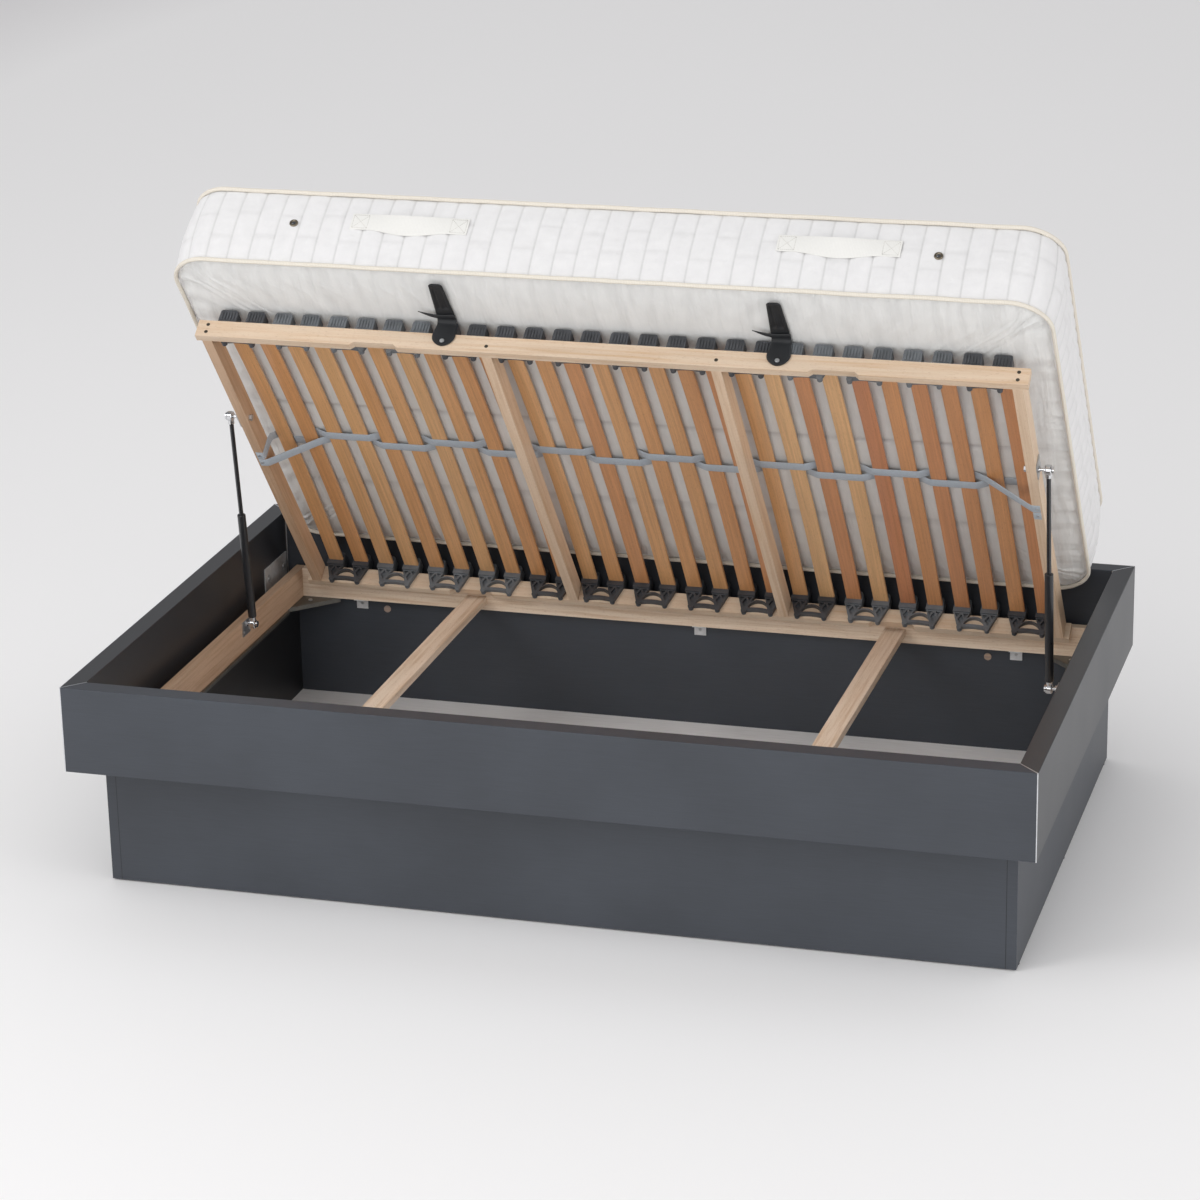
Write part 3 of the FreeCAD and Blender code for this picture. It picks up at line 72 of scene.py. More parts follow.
def linear(colour: str) -> tuple[float, float, float, float]:
    """Turn an sRGB hex colour into the linear values that shaders take.

    Args:
        colour: Six hex digits after a hash sign.

    Returns:
        Red, green, blue and an alpha of one.
    """
    parts = [int(colour[place:place + 2], 16) / 255 for place in (1, 3, 5)]
    values = [part / 12.92 if part <= 0.04045 else ((part + 0.055) / 1.055) ** 2.4 for part in parts]
    return (values[0], values[1], values[2], 1.0)


def shaded(colour: str, factor: float) -> tuple[float, float, float, float]:
    """An sRGB hex colour in linear values, made darker or paler.

    Args:
        colour: Six hex digits after a hash sign.
        factor: Factor on red, green and blue.

    Returns:
        Red, green, blue and an alpha of one.
    """
    red, green, blue, alpha = linear(colour)
    return (red * factor, green * factor, blue * factor, alpha)


def feed(tree: Tree, node: Node, links: dict[Any, Union[Node, Socket]]) -> None:
    """Link outputs to a node's inputs.

    Args:
        tree: Node tree of the node.
        node: Node that takes the links.
        links: Outputs by input name or number; a node stands for its first output.
    """
    for key, source in links.items():
        tree.links.new(source if isinstance(source, Socket) else source.outputs[0], node.inputs[key])


def add_node(
    tree: Tree,
    kind: str,
    settings: Optional[dict[Any, Any]] = None,
    links: Optional[dict[Any, Union[Node, Socket]]] = None,
) -> Node:
    """Add one shader node with its settings and links.

    Args:
        tree: Node tree that takes the node.
        kind: Node type without its ShaderNode prefix.
        settings: Values by input name or number, by attribute name, or "stops" for a ramp.
        links: Outputs by input name or number; a node stands for its first output.

    Returns:
        The new node.
    """
    node = tree.nodes.new("ShaderNode" + kind)
    for key, value in (settings or {}).items():
        if key == "stops":
            ramp = node.color_ramp
            while len(ramp.elements) < len(value):
                ramp.elements.new(0.5)
            for element, (place, colour) in zip(ramp.elements, value):
                element.position = place
                element.color = colour
        elif isinstance(key, int) or key in node.inputs:
            node.inputs[key].default_value = value
        else:
            setattr(node, key, value)
    feed(tree, node, links or {})
    return node


# Finishes


class Along(Enum):
    """Direction in which a piece's grain or brushing runs."""

    X = "x"
    Y = "y"
    Z = "z"
    LID = "lid"


GRAIN_TURN: dict[Along, tuple[float, float, float]] = {
    Along.X: (0.0, 0.0, 0.0),
    Along.Y: (0.0, 0.0, math.radians(90)),
    Along.Z: (0.0, math.radians(90), 0.0),
    Along.LID: (0.0, math.radians(-SWING), math.radians(-90)),
}


@dataclass(frozen=True)
class Finish(ABC):
    """What every finish has: its name, sRGB colour and how it takes light."""

    name: str
    colour: str
    roughness: float
    metallic: float = 0.0
    sheen: float = 0.0
    coat: float = 0.0
    specular: float = 0.5

    @abstractmethod
    def build(self) -> bpy.types.Material:
        """Make the material."""

    def start(self) -> tuple[bpy.types.Material, Tree, Node]:
        """Make the material with its shader.

        Returns:
            The material, its node tree and its shader node.
        """
        material = bpy.data.materials.new(self.name)
        material.use_nodes = True
        tree = material.node_tree
        shader = tree.nodes["Principled BSDF"]
        shader.inputs["Base Color"].default_value = linear(self.colour)
        shader.inputs["Roughness"].default_value = self.roughness
        shader.inputs["Metallic"].default_value = self.metallic
        shader.inputs["Sheen Weight"].default_value = self.sheen
        shader.inputs["Coat Weight"].default_value = self.coat
        shader.inputs["Specular IOR Level"].default_value = self.specular
        material.diffuse_color = linear(self.colour)
        return material, tree, shader

    def grained(self, tree: Tree, along: Along, long: float, short: float) -> Socket:
        """Object coordinates turned and scaled so that noise of scale one draws grain.

        Args:
            tree: Node tree that takes the nodes.
            along: Direction of the grain.
            long: Length of a grain mark in metres.
            short: Width of a grain mark in metres.

        Returns:
            The stretched coordinates.
        """
        place = add_node(tree, "TexCoord")
        turn = add_node(
            tree,
            "Mapping",
            {"vector_type": "TEXTURE", "Rotation": GRAIN_TURN[along]},
            {"Vector": place.outputs["Object"]},
        )
        stretch = add_node(tree, "Mapping", {"Scale": (1 / long, 1 / short, 1 / short)}, {"Vector": turn})
        return stretch.outputs["Vector"]


@dataclass(frozen=True)
class FacedBoard(Finish):
    """Melamine-faced chipboard: matt, near even, with a faint pressed pore that catches light."""

    along: Along = Along.X
    joint_at: float = 0.0
    joint: float = 0.7 * MM
    joint_colour: str = "#17181b"
    pore: tuple[float, float] = (60 * MM, 2 * MM)
    shades: tuple[float, float] = (0.84, 1.17)

    def build(self) -> bpy.types.Material:
        """Make the material.

        Returns:
            A matt board whose pores are drawn 2 mm wide, coarser than the real ones so that they show.
        """
        material, tree, shader = self.start()
        pores = add_node(
            tree, "TexNoise", {"Scale": 1.0, "Detail": 4.0, "Roughness": 0.6},
            {"Vector": self.grained(tree, self.along, *self.pore)},
        )
        place = add_node(tree, "TexCoord")
        clouds = add_node(
            tree, "TexNoise", {"Scale": 3.0, "Detail": 3.0, "Roughness": 0.5},
            {"Vector": place.outputs["Object"]},
        )
        both = add_node(tree, "Math", {"operation": "MULTIPLY_ADD", 1: 0.55}, {0: pores, 2: clouds})
        low, high = (shaded(self.colour, factor) for factor in self.shades)
        tint = add_node(tree, "ValToRGB", {"stops": [(0.5, low), (1.0, high)]}, {"Fac": both})
        colour = tint
        if self.joint_at:
            parts = add_node(tree, "SeparateXYZ", {}, {"Vector": place.outputs["Object"]})
            side = add_node(tree, "Math", {"operation": "ABSOLUTE"}, {0: parts.outputs["X"]})
            line = add_node(
                tree, "Math", {"operation": "COMPARE", 1: self.joint_at, 2: self.joint}, {0: side}
            )
            joint = add_node(
                tree, "Mix", {"data_type": "RGBA", 7: linear(self.joint_colour)}, {0: line, 6: colour}
            )
            colour = joint.outputs[2]
        sheen = add_node(
            tree, "MapRange", {"To Min": self.roughness - 0.06, "To Max": self.roughness + 0.08},
            {"Value": clouds},
        )
        bump = add_node(tree, "Bump", {"Strength": 0.12, "Distance": 0.3 * MM}, {"Height": pores})
        feed(tree, shader, {"Base Color": colour, "Roughness": sheen, "Normal": bump})
        return material


@dataclass(frozen=True)
class SolidWood(Finish):
    """Planed solid wood under a thin satin lacquer: long grain, short dark flecks, soft patches."""

    along: Along = Along.X
    grain_colour: str = "#cdaa86"
    fleck_colour: str = "#a27a58"
    band: tuple[float, float] = (260 * MM, 9 * MM)
    fleck: tuple[float, float] = (9 * MM, 1.4 * MM)
    patch: tuple[float, float] = (420 * MM, 60 * MM)

    def build(self) -> bpy.types.Material:
        """Make the material.

        Returns:
            Wood with grain bands, ray flecks and soft patches of tone at their lengths and widths.
        """
        material, tree, shader = self.start()
        bands = add_node(
            tree, "TexNoise", {"Scale": 1.0, "Detail": 6.0, "Roughness": 0.68, "Distortion": 0.3},
            {"Vector": self.grained(tree, self.along, *self.band)},
        )
        flecks = add_node(
            tree, "TexNoise", {"Scale": 1.0, "Detail": 2.0, "Roughness": 0.5},
            {"Vector": self.grained(tree, self.along, *self.fleck)},
        )
        patches = add_node(
            tree, "TexNoise", {"Scale": 1.0, "Detail": 2.0},
            {"Vector": self.grained(tree, self.along, *self.patch)},
        )
        grain = add_node(
            tree, "ValToRGB",
            {"stops": [(0.24, linear(self.grain_colour)), (0.56, linear(self.colour))]},
            {"Fac": bands},
        )
        spots = add_node(
            tree, "MapRange", {"From Min": 0.6, "From Max": 0.72, "To Max": 0.4}, {"Value": flecks}
        )
        marked = add_node(
            tree, "Mix", {"data_type": "RGBA", 7: linear(self.fleck_colour)}, {0: spots, 6: grain}
        )
        shade = add_node(
            tree, "MapRange", {"From Min": 0.3, "From Max": 0.7, "To Min": 0.9, "To Max": 1.05},
            {"Value": patches},
        )
        toned = add_node(tree, "HueSaturation", {}, {"Value": shade, "Color": marked.outputs[2]})
        bump = add_node(tree, "Bump", {"Strength": 0.15, "Distance": 0.3 * MM}, {"Height": bands})
        feed(tree, shader, {"Base Color": toned, "Normal": bump})
        return material


@dataclass(frozen=True)
class SlatVeneer(Finish):
    """Laminated beech slats: steam-bent veneers whose tone differs from slat to slat under satin lacquer."""

    pale: str = "#e4bd8c"
    red: str = "#bd7856"
    band: tuple[float, float] = (260 * MM, 5 * MM)
    pores: tuple[float, float] = (30.0, 3.0)
    apart: float = 61.0

    def build(self) -> bpy.types.Material:
        """Make the material.

        Returns:
            Veneer read along the slat's own UV, its tone from the slat's attribute, each tone's grain far
            from the next.
        """
        material, tree, shader = self.start()
        place = add_node(tree, "UVMap")
        tone = add_node(tree, "Attribute", {"attribute_name": "tone"})
        shift = add_node(tree, "CombineXYZ", {}, {"Z": tone.outputs["Fac"]})
        far = add_node(tree, "VectorMath", {"operation": "SCALE", "Scale": self.apart}, {0: shift})
        moved = add_node(
            tree, "VectorMath", {"operation": "MULTIPLY_ADD", 1: (1 / self.band[0], 1 / self.band[1], 1.0)},
            {0: place, 2: far},
        )
        bands = add_node(
            tree, "TexNoise", {"Scale": 1.0, "Detail": 5.0, "Roughness": 0.6, "Distortion": 0.5},
            {"Vector": moved},
        )
        pores = add_node(tree, "VectorMath", {"operation": "MULTIPLY", 1: (*self.pores, 1.0)}, {0: moved})
        flecks = add_node(tree, "TexNoise", {"Scale": 1.0, "Detail": 2.0}, {"Vector": pores})
        tones = add_node(
            tree, "ValToRGB",
            {"stops": [(0.0, linear(self.pale)), (0.5, linear(self.colour)), (1.0, linear(self.red))]},
            {"Fac": tone.outputs["Fac"]},
        )
        depth = add_node(
            tree, "MapRange", {"From Min": 0.3, "From Max": 0.7, "To Min": 0.82, "To Max": 1.1},
            {"Value": bands},
        )
        spots = add_node(
            tree, "MapRange", {"From Min": 0.58, "From Max": 0.75, "To Min": 1.0, "To Max": 0.78},
            {"Value": flecks},
        )
        value = add_node(tree, "Math", {"operation": "MULTIPLY"}, {0: depth, 1: spots})
        toned = add_node(tree, "HueSaturation", {}, {"Value": value, "Color": tones})
        bump = add_node(tree, "Bump", {"Strength": 0.12, "Distance": 0.25 * MM}, {"Height": bands})
        feed(tree, shader, {"Base Color": toned, "Normal": bump})
        return material


@dataclass(frozen=True)
class WorkedMetal(Finish):
    """Sheet and turned metal: zinc plate is mottled and dull, chrome clear, painted steel softly uneven."""

    along: Along = Along.X
    mottle: float = 0.12
    grain: float = 1.5 * MM

    def build(self) -> bpy.types.Material:
        """Make the material.

        Returns:
            Metal with a fine brushed grain and cloudy changes of roughness.
        """
        material, tree, shader = self.start()
        brushed = add_node(
            tree, "TexNoise", {"Scale": 1.0, "Detail": 3.0},
            {"Vector": self.grained(tree, self.along, 30 * self.grain, self.grain)},
        )
        place = add_node(tree, "TexCoord")
        clouds = add_node(
            tree, "TexNoise", {"Scale": 90.0, "Detail": 3.0}, {"Vector": place.outputs["Object"]}
        )
        stops = [(0.35, shaded(self.colour, 1 - self.mottle)), (0.65, linear(self.colour))]
        tint = add_node(tree, "ValToRGB", {"stops": stops}, {"Fac": clouds})
        dull = add_node(
            tree, "MapRange",
            {"To Min": max(self.roughness - 0.08, 0.04), "To Max": self.roughness + 0.1},
            {"Value": clouds},
        )
        bump = add_node(tree, "Bump", {"Strength": 0.08, "Distance": 0.1 * MM}, {"Height": brushed})
        feed(tree, shader, {"Base Color": tint, "Roughness": dull, "Normal": bump})
        return material


@dataclass(frozen=True)
class Moulded(Finish):
    """Moulded plastic or rubber: an even colour with a spark-eroded grain and a soft, broken shine."""

    grit: float = 1.2 * MM
    shades: tuple[float, float] = (0.8, 1.25)

    def build(self) -> bpy.types.Material:
        """Make the material.

        Returns:
            Moulding whose grain is drawn at the grit size.
        """
        material, tree, shader = self.start()
        place = add_node(tree, "TexCoord")
        grain = add_node(
            tree, "TexNoise", {"Scale": 1 / self.grit, "Detail": 2.0}, {"Vector": place.outputs["Object"]}
        )
        clouds = add_node(
            tree, "TexNoise", {"Scale": 25.0, "Detail": 2.0}, {"Vector": place.outputs["Object"]}
        )
        low, high = (shaded(self.colour, factor) for factor in self.shades)
        tint = add_node(tree, "ValToRGB", {"stops": [(0.35, low), (0.7, high)]}, {"Fac": clouds})
        dull = add_node(
            tree, "MapRange", {"To Min": self.roughness - 0.07, "To Max": self.roughness + 0.09},
            {"Value": grain},
        )
        bump = add_node(tree, "Bump", {"Strength": 0.2, "Distance": 0.15 * MM}, {"Height": grain})
        feed(tree, shader, {"Base Color": tint, "Roughness": dull, "Normal": bump})
        return material


@dataclass(frozen=True)
class Woven(Finish):
    """Woven tape and webbing: ribs across the tape on its own UV, in metres along and across."""

    rib: float = 2.4 * MM
    rows: float = 2.0 * MM
    depth: float = 0.35 * MM
    # Colour factor of the weave's lowest places: painted shade in its grooves.
    groove_shade: float = 0.78

    def build(self) -> bpy.types.Material:
        """Make the material.

        Returns:
            Tape whose ribs are drawn coarser than the real threads so that they show, painted darker in their
            grooves as shade.
        """
        material, tree, shader = self.start()
        place = add_node(tree, "UVMap")
        turns = add_node(
            tree, "VectorMath",
            {"operation": "MULTIPLY", 1: (math.tau / self.rib, math.tau / self.rows, 0.0)},
            {0: place},
        )
        parts = add_node(tree, "SeparateXYZ", {}, {"Vector": turns})
        ribs = add_node(tree, "Math", {"operation": "SINE"}, {0: parts.outputs["X"]})
        rows = add_node(tree, "Math", {"operation": "SINE"}, {0: parts.outputs["Y"]})
        weave = add_node(tree, "Math", {"operation": "MULTIPLY_ADD", 1: 0.5}, {0: rows, 2: ribs})
        noise = add_node(tree, "TexNoise", {"Scale": 160.0, "Detail": 3.0}, {"Vector": place})
        height = add_node(tree, "Math", {"operation": "MULTIPLY_ADD", 1: 0.35}, {0: weave, 2: noise})
        # The weave's low places are painted darker: painted shade in the grooves between ribs and rows.
        stops = [(0.05, shaded(self.colour, self.groove_shade)), (0.7, linear(self.colour))]
        tint = add_node(tree, "ValToRGB", {"stops": stops}, {"Fac": height})
        bump = add_node(tree, "Bump", {"Strength": 0.45, "Distance": self.depth}, {"Height": height})
        feed(tree, shader, {"Base Color": tint, "Normal": bump})
        return material


@dataclass(frozen=True)
class Ticking(Finish):
    """Knitted mattress ticking: soft white cloth, a fine knit, darker lines where it is stitched, partly
    thread and partly painted shade, and painted shade in its folds.
    """

    stitch_and_shade_colour: str = "#c9c8c7"
    knit: float = 3.0 * MM
    # Depth of the folds' bump, and with it how much darker their hollows are painted: painted shade.
    wrinkle_and_shade: float = 1.0 * MM
    fold: tuple[float, float] = (210 * MM, 26 * MM)

    def build(self) -> bpy.types.Material:
        """Make the material.

        Returns:
            Cloth whose knit is drawn 3 mm wide, coarser than the real one, with wrinkles up the lid; the
            wrinkles' hollows and the low rumples are painted darker, as painted shade.
        """
        material, tree, shader = self.start()
        place = add_node(tree, "TexCoord")
        crease = add_node(tree, "Attribute", {"attribute_name": "crease"})
        knit = add_node(
            tree, "TexVoronoi", {"Scale": 1 / self.knit, "Randomness": 0.6},
            {"Vector": place.outputs["Object"]},
        )
        rumple = add_node(
            tree, "TexNoise", {"Scale": 28.0, "Detail": 4.0, "Roughness": 0.55},
            {"Vector": place.outputs["Object"]},
        )
        folds = add_node(
            tree, "TexNoise", {"Scale": 1.0, "Detail": 3.0, "Roughness": 0.5, "Distortion": 0.3},
            {"Vector": self.grained(tree, Along.LID, *self.fold)},
        )
        # Stitched lines and dips darken towards the stitch colour: partly thread, partly painted shade in the
        # recesses.
        mix = add_node(
            tree, "Mix", {"data_type": "RGBA", 6: linear(self.colour), 7: linear(self.stitch_and_shade_colour)},
            {0: crease.outputs["Fac"]},
        )
        # Low rumples are painted a little darker: painted shade.
        shade = add_node(
            tree, "MapRange", {"From Min": 0.3, "From Max": 0.7, "To Min": 0.955, "To Max": 1.0},
            {"Value": rumple},
        )
        # Hollows of the folds are painted darker: painted shade.
        painted_fold_shade = add_node(
            tree, "MapRange",
            {"From Min": 0.36, "From Max": 0.58, "To Min": 1 - 0.07 * self.wrinkle_and_shade / MM, "To Max": 1.0},
            {"Value": folds},
        )
        both = add_node(tree, "Math", {"operation": "MULTIPLY"}, {0: shade, 1: painted_fold_shade})
        toned = add_node(tree, "HueSaturation", {}, {"Value": both, "Color": mix.outputs[2]})
        wide = add_node(tree, "Bump", {"Strength": 1.0, "Distance": self.wrinkle_and_shade * 6}, {"Height": folds})
        height = add_node(tree, "Math", {"operation": "MULTIPLY_ADD", 1: 0.25}, {0: knit, 2: rumple})
        bump = add_node(
            tree, "Bump", {"Strength": 0.35, "Distance": 1.6 * MM}, {"Height": height, "Normal": wide}
        )
        feed(tree, shader, {"Base Color": toned, "Normal": bump})
        return material


# Matt anthracite decor: nearly black in the bin, cool grey where the light grazes it. The side boards take a
# darker copy of it, painted shade for the bin's dark inside.
FRONT_DECOR = FacedBoard("faced_board_anthracite_along", "#3a3e45", 0.42, along=Along.X)
SIDE_DECOR_PAINTED_SHADE = FacedBoard("faced_board_anthracite_across_painted_shade", "#25282d", 0.4, specular=1.0, along=Along.Y)
PLINTH_DECOR = FacedBoard("faced_board_anthracite_plinth", "#3a3e45", 0.44, along=Along.X, joint_at=0.966)
# White melamine of the storage floor: grey only by the shade that it lies in.
FLOOR_DECOR = FacedBoard("faced_board_white", "#f1f2f3", 0.5, along=Along.X)
# Steamed beech, planed and lacquered: pale, pinkish, with dark ray flecks.
BEECH_ACROSS = SolidWood("lacquered_beech_across", "#efdac3", 0.42, along=Along.X)
BEECH_RAIL = SolidWood("lacquered_beech_rail", "#dac4ac", 0.42, along=Along.X)
BEECH_DEEP = SolidWood("lacquered_beech_deep", "#f3dfca", 0.42, along=Along.Y)
BEECH_LID = SolidWood("lacquered_beech_lid", "#e2c8ad", 0.42, along=Along.LID)
# The same beech painted browner, with darker bands, on two members at the left: painted shade, as they lie in
# shade.
BEECH_PAINTED_SHADE = SolidWood("lacquered_beech_painted_shade", "#d0b094", 0.42, along=Along.Y, grain_colour="#b08a68")
BEECH_PAINTED_SHADE_LID = SolidWood(
    "lacquered_beech_painted_shade_lid", "#caa98b", 0.42, along=Along.LID, grain_colour="#ab8463"
)
# Stained beech buttons: greyer than the rails, so that they sink into the dark panel.
BEECH_BUTTON = SolidWood("stained_beech_button", "#94847c", 0.5, along=Along.X)
# Sawn pine: yellower and matt, under the storage floor.
BATTEN_PINE = SolidWood("sawn_pine", "#cdaa80", 0.65, along=Along.Y)
# Bent beech veneers: warm orange-brown, each slat its own tone, with a thin satin coat.
SLAT_WOOD = SlatVeneer("lacquered_beech_veneer", "#d39a66", 0.36, coat=0.15)
# Brushed aluminium trim: a bright line in each mitre.
TRIM = WorkedMetal("brushed_aluminium", "#dfe1e4", 0.32, metallic=1.0, along=Along.Z)
# Zinc plate: pale and flat on the pressed sheets, cleaner on the small fittings; the parts in the deep
# corners take a darker copy, painted shade.
PRESSED_STEEL = WorkedMetal("zinc_plated_sheet_dull", "#dfe0e1", 0.5, metallic=0.5)
ZINC_PAINTED_SHADE = WorkedMetal("zinc_plated_sheet_painted_shade", "#75746f", 0.48, metallic=0.7, mottle=0.25)
ZINC = WorkedMetal("zinc_plated_steel", "#cfd1d3", 0.33, metallic=0.9, mottle=0.2)
# Burnished steel: brown-black screw heads, almost without shine.
BURNISHED = WorkedMetal("burnished_screw_steel", "#5f5a52", 0.4, metallic=0.9, mottle=0.3)
# Chrome: the clear bright fittings at the struts' ends.
CHROME = WorkedMetal("chromed_steel", "#e0e1e3", 0.16, metallic=1.0, mottle=0.05)
# Enamel and nitride: black with a clear sharp line of light along the tube and the rod.
BLACK_PAINT = WorkedMetal("black_enamelled_tube", "#222326", 0.3, coat=0.3, along=Along.Z)
NITRIDED = WorkedMetal("nitrided_rod", "#232427", 0.22, coat=0.4, along=Along.Z)
# Nickelled brass: a warm grey rim round each eyelet.
NICKEL = WorkedMetal("nickelled_eyelet", "#8d8373", 0.3, metallic=0.9)
# Thermoplastic rubber: matt, almost black or mid grey, with soft highlights on rounded edges.
RUBBER_BLACK = Moulded("moulded_rubber_black", "#434549", 0.46)
RUBBER_GREY = Moulded("moulded_rubber_grey", "#63676b", 0.5)
STRAP_RUBBER = Moulded("moulded_strap_rubber", "#1e2023", 0.58)
# Polyethylene: black discs with a dull shine under the plinth.
GLIDE = Moulded("moulded_polyethylene_glide", "#1b1b1b", 0.45)
# Polyester webbing: blue-grey, ribbed across, matt.
BELT_TAPE = Woven("polyester_webbing_grey", "#b4bdc6", 0.75, sheen=0.1)
# Cotton webbing and tape: white or cream, matt, with a fine rib that only shows close by.
HANDLE_TAPE = Woven(
    "cotton_webbing_white", "#e4e3df", 0.85, rib=3.0 * MM, rows=2.6 * MM, depth=0.15 * MM, groove_shade=0.94
)
TAPE_EDGE = Woven(
    "cotton_tape_cream", "#e3dccf", 0.85, rib=3.2 * MM, rows=3.0 * MM, depth=0.2 * MM, groove_shade=0.9
)
# Spun thread: a shade darker than the webbing, so that the stitches read.
THREAD = Moulded("sewing_thread_grey", "#c4c1bb", 0.6, grit=0.8 * MM)
# Knitted ticking: the border lies flat in its channels, the panels fold towards the lid's front, with painted
# shade in their folds.
TICKING = Ticking("knitted_ticking_border", "#e3e2e2", 0.9, sheen=0.1, wrinkle_and_shade=0.3 * MM)
PANEL_TICKING = Ticking("knitted_ticking_panel", "#e5e5e3", 0.9, sheen=0.1, wrinkle_and_shade=1.0 * MM)


class Wardrobe:
    """Makes each finish once and puts it on the CAD nodes and the new pieces."""

    def __init__(self) -> None:
        """Start with nothing made."""
        self.made: dict[str, bpy.types.Material] = {}

    def material(self, finish: Finish) -> bpy.types.Material:
        """The material of a finish, made at its first use.

        Args:
            finish: The finish.

        Returns:
            Its material.
        """
        if finish.name not in self.made:
            self.made[finish.name] = finish.build()
        return self.made[finish.name]

    def clothe(self, piece: Piece, finish: Finish) -> None:
        """Give an object one finish in place of what it has."""
        piece.data.materials.clear()
        piece.data.materials.append(self.material(finish))

    def dress(self, finish: Finish, *nodes: str) -> None:
        """Give CAD nodes a finish.

        Args:
            finish: Finish of the nodes.
            nodes: Names of the CAD nodes.
        """
        for name in nodes:
            self.clothe(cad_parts[name], finish)
            log.info("%s wears %s", name, finish.name)

    def soften(self, width: float, *nodes: str) -> None:
        """Round the sharp edges of CAD nodes a little, so that they catch the light.

        Args:
            width: Width of the rounding.
            nodes: Names of the CAD nodes.
        """
        for name in nodes:
            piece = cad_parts[name]
            weld = piece.modifiers.new("weld", "WELD")
            weld.merge_threshold = TOUCHING
            bevel = piece.modifiers.new("round", "BEVEL")
            bevel.width = width
            bevel.segments = 2
            bevel.limit_method = "ANGLE"
            bevel.angle_limit = math.radians(50)

    def fit(self, piece: Piece, finish: Finish, body: str) -> None:
        """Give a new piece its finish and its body.

        Args:
            piece: The new piece.
            finish: Its finish.
            body: CAD body that it rides on.
        """
        self.clothe(piece, finish)
        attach(piece, body)
        log.info("%s has %d faces and rides on %s", piece.name, len(piece.data.polygons), body)


# Surfaces


@dataclass
class Grid:
    """Rows and columns of points that make one surface, or a batch of like surfaces.

    Attributes:
        points: Array of pieces, rows, columns and three coordinates.
        loop_rows: Whether the last row joins the first.
        loop_columns: Whether the last column joins the first.
        capped: Whether the first and last rows are closed by a fan.
        uv: Array of pieces, rows, columns and two values, one longer where a side loops.
        marks: Named values for each point, by attribute name.
    """

    points: Array
    loop_rows: bool = False
    loop_columns: bool = False
    capped: bool = False
    uv: Optional[Array] = None
    marks: dict[str, Array] = field(default_factory=dict)

    def faces(self) -> tuple[Array, Array]:
        """Quads of the grid and, for each corner, its place in the uv table.

        Each quad joins a point to the next in its column, the next in both and the next in its row.

        Returns:
            Point numbers and uv numbers, four to a quad.
        """
        count, rows, columns = self.points.shape[:3]
        high = rows if self.loop_rows else rows - 1
        wide = columns if self.loop_columns else columns - 1
        piece, row, column = np.meshgrid(np.arange(count), np.arange(high), np.arange(wide), indexing="ij")
        corners = []
        places = []
        for down, over in ((0, 0), (0, 1), (1, 1), (1, 0)):
            far_row = (row + down) % rows
            far_column = (column + over) % columns
            corners.append((piece * rows + far_row) * columns + far_column)
            uv_rows = rows + int(self.loop_rows)
            uv_columns = columns + int(self.loop_columns)
            places.append((piece * uv_rows + row + down) * uv_columns + column + over)
        return np.stack(corners, -1).reshape(-1, 4), np.stack(places, -1).reshape(-1, 4)

    def fans(self) -> tuple[list[list[int]], list[list[int]]]:
        """Triangles from each end row to a hub, the hubs numbered after the grid's own points.

        Returns:
            Point numbers and uv numbers, three to a triangle.
        """
        count, rows, columns = self.points.shape[:3]
        column = np.arange(columns)
        faces: list[list[int]] = []
        places: list[list[int]] = []
        for piece in range(count):
            for end, row in enumerate((0, rows - 1)):
                ring = (piece * rows + row) * columns
                hub = np.full(columns, count * rows * columns + 2 * piece + end)
                faces.extend(np.stack([ring + column, ring + (column + 1) % columns, hub], -1).tolist())
                place = (piece * rows + row) * (columns + 1) + column
                places.extend(np.stack([place, place + 1, place], -1).tolist())
        return faces, places

    def build(self, name: str, sharp: float = 40.0, merge: bool = False) -> Piece:
        """Make the mesh object, closed and facing outwards.

        Args:
            name: Name of the object.
            sharp: Angle in degrees above which an edge stays sharp.
            merge: Whether points at one place are joined.

        Returns:
            The new object, linked to the scene.
        """
        points = self.points.reshape(-1, 3)
        quads, places = self.faces()
        faces = quads.tolist()
        uv_faces = places.tolist()
        marks = {key: values.reshape(-1) for key, values in self.marks.items()}
        if self.capped:
            points = np.vstack([points, self.points[:, (0, -1)].mean(2).reshape(-1, 3)])
            for key, values in self.marks.items():
                marks[key] = np.concatenate([marks[key], values[:, (0, -1)].mean(2).reshape(-1)])
            fans, fan_places = self.fans()
            faces.extend(fans)
            uv_faces.extend(fan_places)
        mesh = bpy.data.meshes.new(name)
        mesh.from_pydata(points.tolist(), [], faces)
        for key, values in marks.items():
            layer = mesh.attributes.new(key, "FLOAT", "POINT")
            layer.data.foreach_set("value", values.astype(np.float32))
        if self.uv is not None:
            layer = mesh.uv_layers.new(name="UVMap")
            order = np.concatenate([np.asarray(face) for face in uv_faces])
            layer.data.foreach_set("uv", self.uv.reshape(-1, 2)[order].reshape(-1).astype(np.float32))
        tidy = bmesh.new()
        tidy.from_mesh(mesh)
        if merge:
            bmesh.ops.remove_doubles(tidy, verts=tidy.verts, dist=TOUCHING)
        bmesh.ops.recalc_face_normals(tidy, faces=tidy.faces)
        tidy.to_mesh(mesh)
        tidy.free()
        mesh.polygons.foreach_set("use_smooth", np.ones(len(mesh.polygons), bool))
        mesh.set_sharp_from_angle(angle=math.radians(sharp))
        piece_object = bpy.data.objects.new(name, mesh)
        bpy.context.scene.collection.objects.link(piece_object)
        return piece_object


